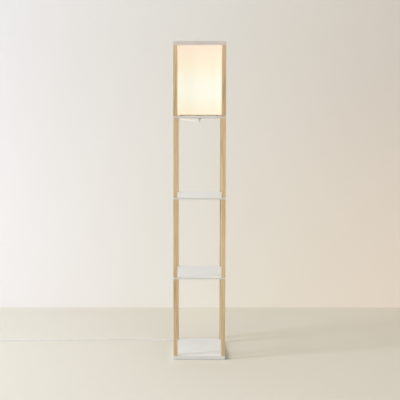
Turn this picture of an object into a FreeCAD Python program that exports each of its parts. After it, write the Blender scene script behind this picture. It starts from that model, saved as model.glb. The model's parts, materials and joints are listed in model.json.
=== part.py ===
"""Shelf floor lamp: four wooden posts, open shelves and a lit square shade.

Millimetres, +Z up, front towards -Y. The origin is on the floor under the
middle of the lamp. Sizes are cells of the sheet "Sizes"; every expression
below is written in those cells' names.
"""

import FreeCAD, Part
import math
import os
import re

import Sketcher

Vector = FreeCAD.Vector

# Driving dimensions: alias, millimetres, what it is.
SIZES = {
    "lamp_width": 260,          # outer width and depth
    "post_side": 20,            # square posts
    "post_edge": 1,             # chamfer along a post
    "pad_height": 1,            # felt pads under the base
    "pad_diameter": 18,
    "pad_reach": 98,            # pad centre from the middle of the lamp
    "base_thickness": 19,
    "shelf_thickness": 9,
    "top_thickness": 20,
    "board_edge": 0.8,          # chamfer round a board
    "bay_height": 393,          # clear height between two shelves
    "shade_bay": 348,           # clear height between light shelf and top
    "stud_diameter": 6,         # double-ended wood screws between the posts
    "stud_reach": 14,           # how far a stud goes into each post
    "stud_play": 0.2,           # bore over stud, on the diameter
    "bolt_length": 40,          # base bolts, from under the head
    "bolt_head": 12,
    "bolt_head_height": 4,
    "dowel_diameter": 8,        # wooden dowels under the top
    "dowel_reach": 12,
    "shade_side": 218,          # sleeve, outside
    "shade_wall": 1.2,
    "shade_corner": 3,          # outer corner radius of the sleeve
    "shade_gap": 1,             # sleeve to top panel
    "seam_width": 12,           # glued overlap down the back
    "seam_height": 0.8,
    "batten_outer": 198,        # frame that the shade stands on
    "batten_width": 8,
    "batten_height": 5,
    "batten_lift": 3,           # gap for air under the battens
    "batten_foot": 16,          # corners of the frame that reach the shelf
    "ring_width": 14,           # flat steel rings in the sleeve's ends
    "ring_thickness": 1,
    "nipple_diameter": 10,      # threaded tube through the light shelf
    "nipple_bore": 7,
    "nipple_rise": 14,          # above the light shelf
    "nut_flats": 15,
    "nut_height": 5,
    "washer_diameter": 26,
    "washer_height": 1.5,
    "holder_diameter": 34,
    "holder_wall": 1.2,
    "cap_height": 22,           # bell-shaped lower cap
    "cap_neck": 16,
    "shell_height": 52,         # straight upper shell
    "core_height": 20,          # switch block inside the shell
    "socket_bore": 26.9,        # screw shell, inside
    "socket_wall": 0.5,
    "socket_depth": 25,
    "contact_diameter": 8,
    "contact_height": 1.5,
    "chain_reach": 28,          # chain in front of the lamp's middle
    "guide_diameter": 8,        # chain guide on the holder
    "guide_bore": 4.4,
    "guide_length": 18,
    "guide_rise": 32,           # underside of the guide above the shelf
    "guide_roof": 1,            # closed end over the guide's bore
    "guide_sink": 0.4,          # guide's arm past the shell, before it is cut to fit
    "bushing_flange": 12,       # grommet in the chain's hole
    "bushing_lip": 1.2,
    "bushing_sleeve": 7.6,
    "bead_diameter": 3.2,
    "bead_pitch": 4.3,
    "bead_count": 14,
    "chain_room": 3,            # chain's end below the guide's upper end
    "link_diameter": 1,
    "bell_diameter": 7,
    "bell_height": 12,
    "bell_drop": 6,             # bell below the light shelf
    "bulb_gap": 0.3,            # bulb's contact over the holder's contact
    "bulb_tip": 9,              # end contact, across
    "bulb_tip_height": 1.2,
    "bulb_glass_height": 3,     # black insulating ring over the contact
    "bulb_glass": 24.2,         # its upper rim, across
    "bulb_thread": 26.2,
    "bulb_thread_height": 21,
    "bulb_neck": 14,            # radius over the screw cap
    "bulb_collar": 8,           # straight stretch over the screw cap
    "bulb_waist": 20,           # radius where the diffuser starts
    "bulb_waist_height": 50,    # above the end contact
    "bulb_globe": 30,           # globe radius
    "bulb_globe_height": 78,    # globe centre above the end contact
    "cord_diameter": 6,
    "boot_centre": 10,          # elbow of the boot below the light shelf
    "boot_collar": 6,           # collar radius
    "boot_mouth": 3.8,          # radius where the cord leaves
    "boot_length": 24,
    "clip_height": 8,
    "clip_width": 11,
    "clip_depth": 8.4,
    "clip_lug": 7,              # nailed lug beside the cord
    "clip_lug_depth": 3,
    "clip_overlap": 0.5,        # lug into saddle
    "clip_bore": 6.4,
    "clip_nail": 4,
    "plug_length": 28,
    "plug_width": 24,
    "plug_edge": 2.4,
    "plug_relief": 14,          # tapered sleeve on the lead
    "relief_foot": 3.8,         # its radius at the cord
    "relief_head": 7.5,         # its radius at the plug
    "blade_length": 17,
    "blade_height": 6.4,
    "blade_thickness": 1.5,
    "blade_spacing": 12.7,
    "coil_radius": 37,          # outermost turn, at the cord's centre
    "coil_pitch": 6.5,          # from one turn to the next
    "coil_climb": 6.6,          # from one layer to the next
    "coil_turns": 4,
}

# The boot under the light shelf points at the back left post, a little down.
BOOT_AIM = Vector(-0.8, 0.6, -0.15)

# Cord held by the lamp: under the light shelf, then down the back of a post.
RISER_ROUTE = [
    (-18.99, 14.24, 1203.44),
    (-42.7, 32.02, 1199),
    (-68, 56, 1201.5),
    (-94, 88, 1210),
    (-103.5, 134.5, 1209),
    (-110, 137, 1163),
    (-124, 133.6, 1116),
    (-124, 133.6, 72),
]
CLIP_FIRST = 1082               # height of the highest clip's middle
CLIP_LAST = 76
CLIP_COUNT = 5

# Free cord: from the last clip down to the floor and off to the left.
CORD_ROUTE = [
    (-124, 133.6, 72),
    (-124, 133.6, 42),
    (-129, 137, 16),
    (-152, 143, 3),
    (-190, 151, 3),
    (-244, 158.5, 3),
    (-314, 162.5, 3),
    (-394, 163.5, 3),
    (-478, 162, 3),
    (-560, 158.8, 3),
    (-643, 154.8, 3),
    (-727, 151.8, 3),
    (-811, 149.9, 3),
    (-895, 148.8, 3),
    (-977, 148.5, 3),
    (-1058, 149, 3),
    (-1139, 149, 3),
]
COIL_CENTRE = (-1145, 112)      # the coil's start is coil_radius behind it

# Short lead from the coil's upper layer to the plug beside it.
LEAD_ROUTE = [
    (-1151, 149, 9.6),
    (-1167, 149, 9.6),
    (-1184, 154, 9.6),
]

CORNERS = {
    "front_left": (-1, -1),
    "front_right": (1, -1),
    "back_left": (-1, 1),
    "back_right": (1, 1),
}
TIERS = ("lower", "middle", "upper", "shade")

BASE_TOP = "pad_height + base_thickness"
SHELF_STEP = "(bay_height + shelf_thickness)"
POST_REACH = "(lamp_width - post_side) / 2"
LIGHT_TOP = f"{BASE_TOP} + 3 * {SHELF_STEP}"
LIGHT_UNDER = f"{LIGHT_TOP} - shelf_thickness"
TOP_UNDER = f"{LIGHT_TOP} + shade_bay"
HOLDER_FOOT = f"{LIGHT_TOP} + washer_height"
SHELL_FOOT = f"{HOLDER_FOOT} + cap_height"
CONTACT_TOP = f"{SHELL_FOOT} + core_height + contact_height"
BULB_FOOT = f"{CONTACT_TOP} + bulb_gap"

doc = FreeCAD.newDocument("shelf_floor_lamp")
sheet = doc.addObject("Spreadsheet::Sheet", "Sizes")
for row, (alias, amount) in enumerate(SIZES.items(), start=1):
    sheet.set(f"A{row}", alias)
    sheet.set(f"B{row}", str(amount))
    sheet.setAlias(f"B{row}", alias)
doc.recompute()

parts = []                      # the sub-parts, in the order they are made

ARC_SHARE = 0.45                # of the shorter run that each of a cord's arcs takes up


def size(alias):
    """The number in one of the sheet's cells."""
    return float(sheet.get(alias))


def cells(text):
    """An expression with the sheet's name before each cell that it uses."""
    def named(word):
        return f"Sizes.{word.group()}" if word.group() in SIZES else word.group()
    return re.sub(r"[a-z_]+", named, text)


def bind(item, **properties):
    """Bind an object's properties to expressions of the sheet's cells."""
    for name, text in properties.items():
        item.setExpression(name, cells(text))


def place(item, x="0", y="0", z="0"):
    """Bind where an object stands."""
    for axis, text in zip("xyz", (x, y, z)):
        item.setExpression(f"Placement.Base.{axis}", cells(text))


def sub_part(item, label):
    """Name an object as a sub-part that gets a file of its own."""
    item.Label = label
    parts.append(item)
    return item


# Part primitives, booleans and groups

def block(name, length, width, height, x, y, z):
    """A box whose lowest corner is at x, y, z."""
    item = doc.addObject("Part::Box", name)
    bind(item, Length=length, Width=width, Height=height)
    place(item, x, y, z)
    return item


def rod(name, radius, height, x, y, z):
    """An upright cylinder."""
    item = doc.addObject("Part::Cylinder", name)
    bind(item, Radius=radius, Height=height)
    place(item, x, y, z)
    return item


def cone(name, foot, head, height, x, y, z):
    """An upright cone from radius foot to radius head."""
    item = doc.addObject("Part::Cone", name)
    bind(item, Radius1=foot, Radius2=head, Height=height)
    place(item, x, y, z)
    return item


def cut(name, base, tool):
    """One solid less another."""
    item = doc.addObject("Part::Cut", name)
    item.Base = base
    item.Tool = tool
    return item


def fuse(name, pieces):
    """One solid of several."""
    item = doc.addObject("Part::MultiFuse", name)
    item.Shapes = pieces
    item.Refine = True
    return item


def group(name, pieces):
    """Separate solids that are one sub-part, such as four screws."""
    item = doc.addObject("Part::Compound", name)
    item.Links = pieces
    return sub_part(item, name)


def times(sign, text):
    """An expression on the side of the lamp that sign says."""
    return f"{sign} * ({text})"


# Part Design bodies

def new_body(name):
    """An empty body that is a sub-part."""
    return sub_part(doc.addObject("PartDesign::Body", name), name)


def sketch_in(body, name, plane="XY_Plane", lift=None):
    """A sketch on one of the body's own planes, raised by lift."""
    sketch = body.newObject("Sketcher::SketchObject", name)
    origin = next(item for item in body.Origin.OriginFeatures if item.Role == plane)
    sketch.AttachmentSupport = [(origin, "")]
    sketch.MapMode = "FlatFace"
    if lift:
        sketch.setExpression("AttachmentOffset.Base.z", cells(lift))
    return sketch


def constrain(sketch, kind, *terms, amount=None):
    """Add a constraint, and bind it where an amount is given."""
    if amount is None:
        return sketch.addConstraint(Sketcher.Constraint(kind, *terms))
    index = sketch.addConstraint(Sketcher.Constraint(kind, *terms, 10.0))
    sketch.setExpression(f"Constraints[{index}]", cells(amount))
    return index


def rectangle(sketch, width, depth):
    """A rectangle round the sketch's origin."""
    first = sketch.GeometryCount
    corners = [Vector(-5, -5), Vector(5, -5), Vector(5, 5), Vector(-5, 5)]
    for start, end in zip(corners, corners[1:] + corners[:1]):
        sketch.addGeometry(Part.LineSegment(start, end))
    for side in range(4):
        constrain(sketch, "Coincident", first + side, 2, first + (side + 1) % 4, 1)
        constrain(sketch, ("Horizontal", "Vertical")[side % 2], first + side)
    constrain(sketch, "Symmetric", first, 1, first + 1, 2, -1, 1)
    constrain(sketch, "DistanceX", first, 1, first, 2, amount=width)
    constrain(sketch, "DistanceY", first + 1, 1, first + 1, 2, amount=depth)


def circle(sketch, diameter, x=None, y=None):
    """A circle; without x or y its centre is on that axis of the sketch."""
    index = sketch.addGeometry(Part.Circle(Vector(1, 1, 0), Vector(0, 0, 1), 1))
    constrain(sketch, "Diameter", index, amount=diameter)
    for kind, axis, text in (("DistanceX", -2, x), ("DistanceY", -1, y)):
        if text is None:
            constrain(sketch, "PointOnObject", index, 3, axis)
        else:
            constrain(sketch, kind, -1, 1, index, 3, amount=text)


def polygon(sketch, corners):
    """A closed outline whose corners are pairs of expressions."""
    spread = [Vector(3 + math.cos(2 * math.pi * turn / len(corners)),
                     3 + math.sin(2 * math.pi * turn / len(corners)), 0)
              for turn in range(len(corners))]
    for start, end in zip(spread, spread[1:] + spread[:1]):
        sketch.addGeometry(Part.LineSegment(start, end))
    for index, (x, y) in enumerate(corners):
        constrain(sketch, "Coincident", index, 2, (index + 1) % len(corners), 1)
        for kind, axis, text in (("DistanceX", -2, x), ("DistanceY", -1, y)):
            if text == "0":
                constrain(sketch, "PointOnObject", index, 1, axis)
            else:
                constrain(sketch, kind, -1, 1, index, 1, amount=text)


def pad(body, sketch, length):
    """Raise a sketch along its own normal."""
    feature = body.newObject("PartDesign::Pad", f"{body.Name}_pad")
    feature.Profile = sketch
    bind(feature, Length=length)
    return feature


def pocket(body, sketch, depth, upwards):
    """Sink a sketch into the body, and see that it cut something."""
    doc.recompute()
    before = body.Shape.Volume
    feature = body.newObject("PartDesign::Pocket", f"{sketch.Name}_pocket")
    feature.Profile = sketch
    feature.Reversed = upwards
    bind(feature, Length=depth)
    doc.recompute()
    if body.Shape.Volume >= before:
        raise RuntimeError(f"{feature.Name} cuts nothing")
    return feature


def edges_of(shape, wanted):
    """The names of a shape's edges that a test picks."""
    return [f"Edge{number}" for number, edge in enumerate(shape.Edges, start=1)
            if wanted(edge)]


def is_upright(edge):
    """Whether an edge runs along Z."""
    along = edge.Vertexes[-1].Point - edge.Vertexes[0].Point
    return along.Length > 0 and abs(along.z) > 0.999 * along.Length


def chamfer(body, feature, amount, wanted=lambda edge: True):
    """Take the arris off the chosen edges of a feature."""
    doc.recompute()
    item = body.newObject("PartDesign::Chamfer", f"{body.Name}_chamfer")
    item.Base = (feature, edges_of(feature.Shape, wanted))
    bind(item, Size=amount)
    return item


def fillet(body, feature, radius, wanted):
    """Round the chosen edges of a feature."""
    doc.recompute()
    item = body.newObject("PartDesign::Fillet", f"{body.Name}_fillet")
    item.Base = (feature, edges_of(feature.Shape, wanted))
    bind(item, Radius=radius)
    return item


def turned(name, outline, z):
    """A piece turned about the lamp's own axis, standing at height z."""
    body = new_body(name)
    sketch = sketch_in(body, f"{name}_section", "XZ_Plane")
    polygon(sketch, outline)
    feature = body.newObject("PartDesign::Revolution", f"{name}_turned")
    feature.Profile = sketch
    feature.ReferenceAxis = (sketch, ["V_Axis"])
    feature.Angle = 360
    place(body, z=z)
    return body


# Cord tubes

def bend(entry, corner, leave):
    """The arc that touches both arms of a corner; entry and leave are as far from it."""
    inward = (entry - corner).normalize()
    outward = (leave - corner).normalize()
    half = (math.pi - inward.getAngle(outward)) / 2
    radius = entry.distanceToPoint(corner) / math.tan(half)
    middle = corner + (inward + outward).normalize() * (radius / math.cos(half) - radius)
    return Part.Arc(entry, middle, leave), radius


def run_path(route):
    """Straight runs joined by arcs as large as the runs allow."""
    points = [Vector(*point) for point in route]
    edges, radii = [], []
    start = points[0]
    for before, corner, after in zip(points, points[1:], points[2:]):
        reach = ARC_SHARE * min(corner.distanceToPoint(before), corner.distanceToPoint(after))
        entry = corner + (before - corner).normalize() * reach
        leave = corner + (after - corner).normalize() * reach
        arc, radius = bend(entry, corner, leave)
        edges += [Part.LineSegment(start, entry), arc]
        radii.append(radius)
        start = leave
    edges.append(Part.LineSegment(start, points[-1]))
    return edges, radii


def biarc(start, along, end, onward):
    """Two arcs from one point and direction to another."""
    chord = end - start
    both = along + onward
    spare = 2 * (1 - along.dot(onward))
    slant = chord.dot(both)
    reach = (math.sqrt(slant ** 2 + spare * chord.dot(chord)) - slant) / spare
    first_corner = start + along * reach
    last_corner = end - onward * reach
    joint = (first_corner + last_corner) / 2
    first_arc, first_radius = bend(start, first_corner, joint)
    last_arc, last_radius = bend(joint, last_corner, end)
    return [first_arc, last_arc], [first_radius, last_radius]


def cord_section(start, along):
    """An eight-sided section with a round cord's area, a flat side down."""
    radius = size("cord_diameter") / 2 * math.sqrt(math.pi / math.sqrt(8))
    aside = along.cross(Vector(0, 0, 1) if abs(along.z) < 0.9 else Vector(0, 1, 0)).normalize()
    upward = aside.cross(along)
    corners = []
    for side in range(9):
        angle = math.pi / 8 + side * math.pi / 4
        corners.append(start + aside * radius * math.cos(angle)
                       + upward * radius * math.sin(angle))
    return Part.makePolygon(corners)


def tube(name, edges, radii):
    """A cord along a path, with its radii and volume checked."""
    path = Part.Wire([edge.toShape() for edge in edges])
    first = path.Edges[0]
    section = cord_section(first.valueAt(first.FirstParameter),
                           first.tangentAt(first.FirstParameter))
    shape = path.makePipeShell([section], True, False)
    wanted = math.pi * size("cord_diameter") ** 2 / 4 * path.Length
    print(f"{name}: length {path.Length:.0f}, radii {min(radii):.0f} to {max(radii):.0f},"
          f" volume over section times length {shape.Volume / wanted:.4f}")
    item = doc.addObject("Part::Feature", name)
    item.Shape = shape
    return sub_part(item, name)


# Wooden frame and boards

def make_post(tier, corner):
    """One post of a tier, bored at both ends."""
    name = f"{TIERS[tier]}_post_{corner}"
    length = "shade_bay" if tier == 3 else "bay_height"
    side_x, side_y = CORNERS[corner]
    foot_bore = "stud_diameter + stud_play"
    foot_depth = "stud_reach"
    head_bore = "dowel_diameter + stud_play" if tier == 3 else foot_bore
    head_depth = "dowel_reach" if tier == 3 else "stud_reach"
    if tier == 0:
        foot_depth = "bolt_length + bolt_head_height - base_thickness"
    body = new_body(name)
    section = sketch_in(body, f"{name}_section")
    rectangle(section, "post_side", "post_side")
    chamfer(body, pad(body, section, length), "post_edge", is_upright)
    foot = sketch_in(body, f"{name}_foot")
    circle(foot, foot_bore)
    pocket(body, foot, foot_depth, upwards=True)
    head = sketch_in(body, f"{name}_head", lift=length)
    circle(head, head_bore)
    pocket(body, head, head_depth, upwards=False)
    place(body, times(side_x, POST_REACH), times(side_y, POST_REACH),
          f"{BASE_TOP} + {tier} * {SHELF_STEP}")


def make_board(name, thickness, z):
    """A plain board with its arrises taken off."""
    body = new_body(name)
    outline = sketch_in(body, f"{name}_outline")
    rectangle(outline, "lamp_width", "lamp_width")
    chamfer(body, pad(body, outline, thickness), "board_edge")
    place(body, z=z)
    return body


def bore_corners(body, name, diameter, depth):
    """Four bores under the posts, sunk upwards from the board's underside."""
    sketch = sketch_in(body, f"{body.Name}_{name}")
    for side_x, side_y in CORNERS.values():
        circle(sketch, diameter, times(side_x, POST_REACH), times(side_y, POST_REACH))
    pocket(body, sketch, depth, upwards=True)


def at_corners(make, name, reach=POST_REACH):
    """Four equal pieces, one at each corner, as one sub-part."""
    pieces = []
    for corner, (side_x, side_y) in CORNERS.items():
        pieces.append(make(f"{name}_{corner}", times(side_x, reach), times(side_y, reach)))
    return group(name, pieces)


def make_boards():
    """Base, three shelves and top, with the bores that their fixings need."""
    base = make_board("base_panel", "base_thickness", "pad_height")
    bore_corners(base, "bolt_holes", "stud_diameter + stud_play", "base_thickness")
    bore_corners(base, "bolt_seats", "bolt_head + stud_play", "bolt_head_height")
    for number, tier in enumerate(("lower", "middle", "light"), start=1):
        shelf = make_board(f"{tier}_shelf", "shelf_thickness",
                           f"{BASE_TOP} + {number} * {SHELF_STEP} - shelf_thickness")
        bore_corners(shelf, "stud_holes", "stud_diameter + stud_play", "shelf_thickness")
    outlets = sketch_in(shelf, "light_shelf_outlets")
    circle(outlets, "nipple_diameter + stud_play")
    circle(outlets, "bushing_sleeve + stud_play", y="-chain_reach")
    pocket(shelf, outlets, "shelf_thickness", upwards=True)
    top = make_board("top_panel", "top_thickness", TOP_UNDER)
    bore_corners(top, "dowel_holes", "dowel_diameter + stud_play", "dowel_reach")


def make_fixings():
    """Pads, bolts, studs and dowels, four of each."""
    at_corners(lambda name, x, y: rod(name, "pad_diameter / 2", "pad_height", x, y, "0"),
               "foot_pads", "pad_reach")

    def bolt(name, x, y):
        head = rod(f"{name}_head", "bolt_head / 2", "bolt_head_height", x, y, "pad_height")
        shank = rod(f"{name}_shank", "stud_diameter / 2", "bolt_length", x, y,
                    "pad_height + bolt_head_height")
        return fuse(name, [head, shank])

    at_corners(bolt, "base_bolts")
    for number, tier in enumerate(TIERS[:3], start=1):
        foot = f"{BASE_TOP} + {number} * {SHELF_STEP} - shelf_thickness - stud_reach"
        at_corners(lambda name, x, y: rod(name, "stud_diameter / 2",
                                          "shelf_thickness + 2 * stud_reach", x, y, foot),
                   f"{tier}_studs")
    at_corners(lambda name, x, y: rod(name, "dowel_diameter / 2", "2 * dowel_reach", x, y,
                                      f"{TOP_UNDER} - dowel_reach"), "top_dowels")


# Shade

def square_ring(name, outer, width, height, z):
    """A flat square ring round the lamp's axis."""
    body = new_body(name)
    sketch = sketch_in(body, f"{name}_outline")
    rectangle(sketch, outer, outer)
    rectangle(sketch, f"{outer} - 2 * {width}", f"{outer} - 2 * {width}")
    pad(body, sketch, height)
    place(body, z=z)
    return body


def make_shade():
    """Fabric sleeve with its steel rings, on a batten frame that lets air in under it."""
    rise = "(batten_lift + batten_height)"
    battens = square_ring("shade_battens", "batten_outer", "batten_width", rise, LIGHT_TOP)
    across, between = "batten_outer + batten_width", "batten_outer - 2 * batten_foot"
    for name, width, depth in (("front_gap", between, across), ("side_gap", across, between)):
        gap = sketch_in(battens, f"shade_battens_{name}")
        rectangle(gap, width, depth)
        pocket(battens, gap, "batten_lift", upwards=True)
    foot = f"{LIGHT_TOP} + {rise}"
    height = f"(shade_bay - {rise} - shade_gap)"
    ring_outer = "(shade_side - 2 * shade_wall)"
    square_ring("shade_bottom_ring", ring_outer, "ring_width", "ring_thickness", foot)
    square_ring("shade_top_ring", ring_outer, "ring_width", "ring_thickness",
                f"{foot} + {height} - ring_thickness")
    sleeve = new_body("shade_sleeve")
    outline = sketch_in(sleeve, "shade_sleeve_outline")
    rectangle(outline, "shade_side", "shade_side")
    fillet(sleeve, pad(sleeve, outline, height), "shade_corner", is_upright)
    doc.recompute()
    hollow = sketch_in(sleeve, "shade_sleeve_hollow")
    rectangle(hollow, ring_outer, ring_outer)
    pocket(sleeve, hollow, height, upwards=True)
    seam = sketch_in(sleeve, "shade_sleeve_seam")
    polygon(seam, [("-seam_width / 2", "shade_side / 2 - shade_wall / 2"),
                   ("seam_width / 2", "shade_side / 2 - shade_wall / 2"),
                   ("seam_width / 2", "shade_side / 2 + seam_height"),
                   ("-seam_width / 2", "shade_side / 2 + seam_height")])
    strip = sleeve.newObject("PartDesign::Pad", "shade_sleeve_strip")
    strip.Profile = seam
    bind(strip, Length=height)
    place(sleeve, z=foot)


# Lamp holder, switch and bulb

def tube_outline(outer, inner, height):
    """Section of a plain tube."""
    return [(inner, "0"), (outer, "0"), (outer, height), (inner, height)]


def make_holder():
    """Threaded tube, nut, washer and the holder's cap, shell and contacts."""
    turned("nipple", tube_outline("nipple_diameter / 2", "nipple_bore / 2",
                                  "nut_height + shelf_thickness + nipple_rise"),
           f"{LIGHT_UNDER} - nut_height")
    nut = new_body("lock_nut")
    outline = sketch_in(nut, "lock_nut_outline")
    across = "nut_flats / 2"
    point = "nut_flats / sqrt(3)"
    polygon(outline, [(f"-{point}", "0"), (f"-{point} / 2", f"-{across}"),
                      (f"{point} / 2", f"-{across}"), (point, "0"),
                      (f"{point} / 2", across), (f"-{point} / 2", across)])
    circle(outline, "nipple_diameter")
    pad(nut, outline, "nut_height")
    place(nut, z=f"{LIGHT_UNDER} - nut_height")
    turned("washer", tube_outline("washer_diameter / 2", "nipple_diameter / 2", "washer_height"),
           LIGHT_TOP)
    turned("holder_cap", [
        ("nipple_diameter / 2", "0"),
        ("cap_neck / 2", "0"),
        ("cap_neck / 2", "0.25 * cap_height"),
        ("0.43 * holder_diameter", "0.45 * cap_height"),
        ("holder_diameter / 2", "0.7 * cap_height"),
        ("holder_diameter / 2", "cap_height"),
        ("holder_diameter / 2 - holder_wall", "cap_height"),
        ("holder_diameter / 2 - holder_wall", "0.75 * cap_height"),
        ("nipple_diameter / 2", "0.38 * cap_height"),
    ], HOLDER_FOOT)
    inside = "(holder_diameter / 2 - holder_wall)"
    turned("switch_block", [("0", "0"), (inside, "0"), (inside, "core_height"),
                            ("0", "core_height")], SHELL_FOOT)
    turned("holder_shell", tube_outline("holder_diameter / 2", inside, "shell_height"),
           SHELL_FOOT)
    socket_foot = f"{SHELL_FOOT} + core_height"
    turned("screw_shell", tube_outline("socket_bore / 2 + socket_wall", "socket_bore / 2",
                                       "socket_depth"), socket_foot)
    sub_part(rod("centre_contact", "contact_diameter / 2", "contact_height", "0", "0",
                 socket_foot), "centre_contact")


def make_switch():
    """Chain guide on the shell, grommet in the shelf, bead chain and its bell."""
    guide_foot = f"{LIGHT_TOP} + guide_rise"
    reach = "-chain_reach"
    upright = rod("guide_upright", "guide_diameter / 2", "guide_length", "0", reach, guide_foot)
    crown = cone("guide_crown", "guide_diameter / 2", "guide_diameter / 4",
                 "guide_diameter / 4", "0", reach, f"{guide_foot} + guide_length")
    arm = doc.addObject("Part::Cylinder", "guide_arm")
    bind(arm, Radius="guide_diameter / 2", Height="chain_reach - holder_diameter / 2 + guide_sink")
    arm.Placement.Rotation = FreeCAD.Rotation(Vector(1, 0, 0), -90)
    place(arm, "0", reach, f"{guide_foot} + 0.6 * guide_length")
    solid = fuse("guide_solid", [upright, crown, arm])
    bore = rod("guide_bore_rod", "guide_bore / 2", "guide_length - guide_roof", "0", reach, guide_foot)
    shell = rod("guide_seat", "holder_diameter / 2", "2 * shell_height", "0", "0", SHELL_FOOT)
    sub_part(cut("chain_guide", cut("guide_bored", solid, bore), shell), "chain_guide")

    bushing = turned("chain_bushing", [
        ("guide_bore / 2", "-shelf_thickness"),
        ("bushing_sleeve / 2", "-shelf_thickness"),
        ("bushing_sleeve / 2", "0"),
        ("bushing_flange / 2", "0"),
        ("bushing_flange / 2", "0.5 * bushing_lip"),
        ("0.8 * bushing_flange / 2", "bushing_lip"),
        ("guide_bore / 2", "bushing_lip"),
    ], LIGHT_TOP)
    place(bushing, y=reach, z=LIGHT_TOP)

    bell_top = f"{LIGHT_UNDER} - bell_drop"
    bell = turned("chain_bell", [
        ("0", "0"),
        ("0.42 * bell_diameter", "0"),
        ("0.5 * bell_diameter", "0.1 * bell_height"),
        ("0.46 * bell_diameter", "0.4 * bell_height"),
        ("0.3 * bell_diameter", "0.75 * bell_height"),
        ("0.2 * bell_diameter", "bell_height"),
        ("0", "bell_height"),
    ], f"{bell_top} - bell_height")
    place(bell, y=reach, z=f"{bell_top} - bell_height")

    make_chain(bell_top, f"({guide_foot} + guide_length - chain_room)")


def make_chain(foot, head):
    """Bead chain from the bell's top to the guide: one bead, repeated up a wire."""
    chain = new_body("bead_chain")
    wire = sketch_in(chain, "bead_chain_wire")
    circle(wire, "link_diameter")
    pad(chain, wire, f"{head} - ({foot})")
    section = sketch_in(chain, "bead_chain_bead", "XZ_Plane")
    polygon(section, [
        ("0", "0.5 * bead_pitch - 0.47 * bead_diameter"),
        ("link_diameter / 2", "0.5 * bead_pitch - 0.47 * bead_diameter"),
        ("0.5 * bead_diameter", "0.5 * bead_pitch - 0.18 * bead_diameter"),
        ("0.5 * bead_diameter", "0.5 * bead_pitch + 0.18 * bead_diameter"),
        ("link_diameter / 2", "0.5 * bead_pitch + 0.47 * bead_diameter"),
        ("0", "0.5 * bead_pitch + 0.47 * bead_diameter"),
    ])
    bead = chain.newObject("PartDesign::Revolution", "bead_chain_first")
    bead.Profile = section
    bead.ReferenceAxis = (section, ["V_Axis"])
    bead.Angle = 360
    doc.recompute()
    row = chain.newObject("PartDesign::LinearPattern", "bead_chain_row")
    row.Originals = [bead]
    row.Direction = (wire, ["N_Axis"])
    bind(row, Length="(bead_count - 1) * bead_pitch", Occurrences="bead_count")
    chain.Tip = row
    place(chain, y="-chain_reach", z=foot)


def make_bulb():
    """A globe bulb: contact, insulator, screw cap, housing and diffuser."""
    tip_top = f"{BULB_FOOT} + bulb_tip_height"
    cap_foot = f"{tip_top} + bulb_glass_height"
    cap_top = "(bulb_tip_height + bulb_glass_height + bulb_thread_height)"
    sub_part(rod("bulb_contact", "bulb_tip / 2", "bulb_tip_height", "0", "0", BULB_FOOT),
             "bulb_contact")
    sub_part(cone("bulb_insulator", "bulb_tip / 2", "bulb_glass / 2", "bulb_glass_height",
                  "0", "0", tip_top), "bulb_insulator")
    sub_part(rod("bulb_screw_cap", "bulb_thread / 2", "bulb_thread_height", "0", "0", cap_foot),
             "bulb_screw_cap")
    turned("bulb_housing", [
        ("0", cap_top),
        ("bulb_neck", cap_top),
        ("bulb_neck", f"{cap_top} + bulb_collar"),
        ("bulb_neck + 0.35 * (bulb_waist - bulb_neck)", "bulb_waist_height - bulb_collar"),
        ("bulb_waist", "bulb_waist_height"),
        ("0", "bulb_waist_height"),
    ], BULB_FOOT)
    dome = [("0", "bulb_waist_height"), ("bulb_waist", "bulb_waist_height")]
    for latitude in (-25, 0, 22, 44, 64, 80):
        lean = math.radians(latitude)
        dome.append((f"{math.cos(lean):.5f} * bulb_globe",
                     f"bulb_globe_height + {math.sin(lean):.5f} * bulb_globe"))
    dome += [("0", "bulb_globe_height + bulb_globe")]
    turned("bulb_diffuser", dome, BULB_FOOT)


# Cord, its fittings and its plug

def aimed(item, along):
    """Turn an upright primitive to point along a direction."""
    item.Placement.Rotation = FreeCAD.Rotation(Vector(0, 0, 1), along)
    return item


def make_outlet():
    """Boot under the nut, which turns the cord towards the back left post."""
    centre = f"{LIGHT_UNDER} - boot_centre"
    collar = rod("boot_collar_rod", "boot_collar", "boot_centre - nut_height", "0", "0", centre)
    knuckle = cone("boot_knuckle", "0.55 * boot_collar", "boot_collar", "0.8 * boot_collar",
                   "0", "0", f"{centre} - 0.8 * boot_collar")
    nose = aimed(cone("boot_nose", "boot_collar * 0.85", "boot_mouth", "boot_length",
                      "0", "0", centre), BOOT_AIM)
    sub_part(fuse("strain_relief", [collar, knuckle, nose]), "strain_relief")


def make_clips():
    """Nailed clips that hold the cord to the back of the post."""
    across = RISER_ROUTE[-1][0]
    behind = "lamp_width / 2"
    pieces = []
    for number in range(CLIP_COUNT):
        middle = CLIP_FIRST + (CLIP_LAST - CLIP_FIRST) * number / (CLIP_COUNT - 1)
        foot = f"{middle} - clip_height / 2"
        name = f"clip_{number + 1}"
        saddle = block(f"{name}_saddle", "clip_width", "clip_depth", "clip_height",
                       f"{across} - clip_width / 2", behind, foot)
        lug = block(f"{name}_lug", "clip_lug", "clip_lug_depth", "clip_height",
                    f"{across} + clip_width / 2 - clip_overlap", behind, foot)
        nail = doc.addObject("Part::Cylinder", f"{name}_nail")
        bind(nail, Radius="clip_nail / 2", Height="1.2 * clip_lug_depth")
        nail.Placement.Rotation = FreeCAD.Rotation(Vector(1, 0, 0), -90)
        place(nail, f"{across} + (clip_width + clip_lug) / 2", behind,
              f"{foot} + clip_height / 2")
        channel = rod(f"{name}_channel", "clip_bore / 2", "clip_height", str(across),
                      str(RISER_ROUTE[-1][1]), foot)
        pieces.append(cut(name, fuse(f"{name}_solid", [saddle, lug, nail]), channel))
    group("cord_clips", pieces)


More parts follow.
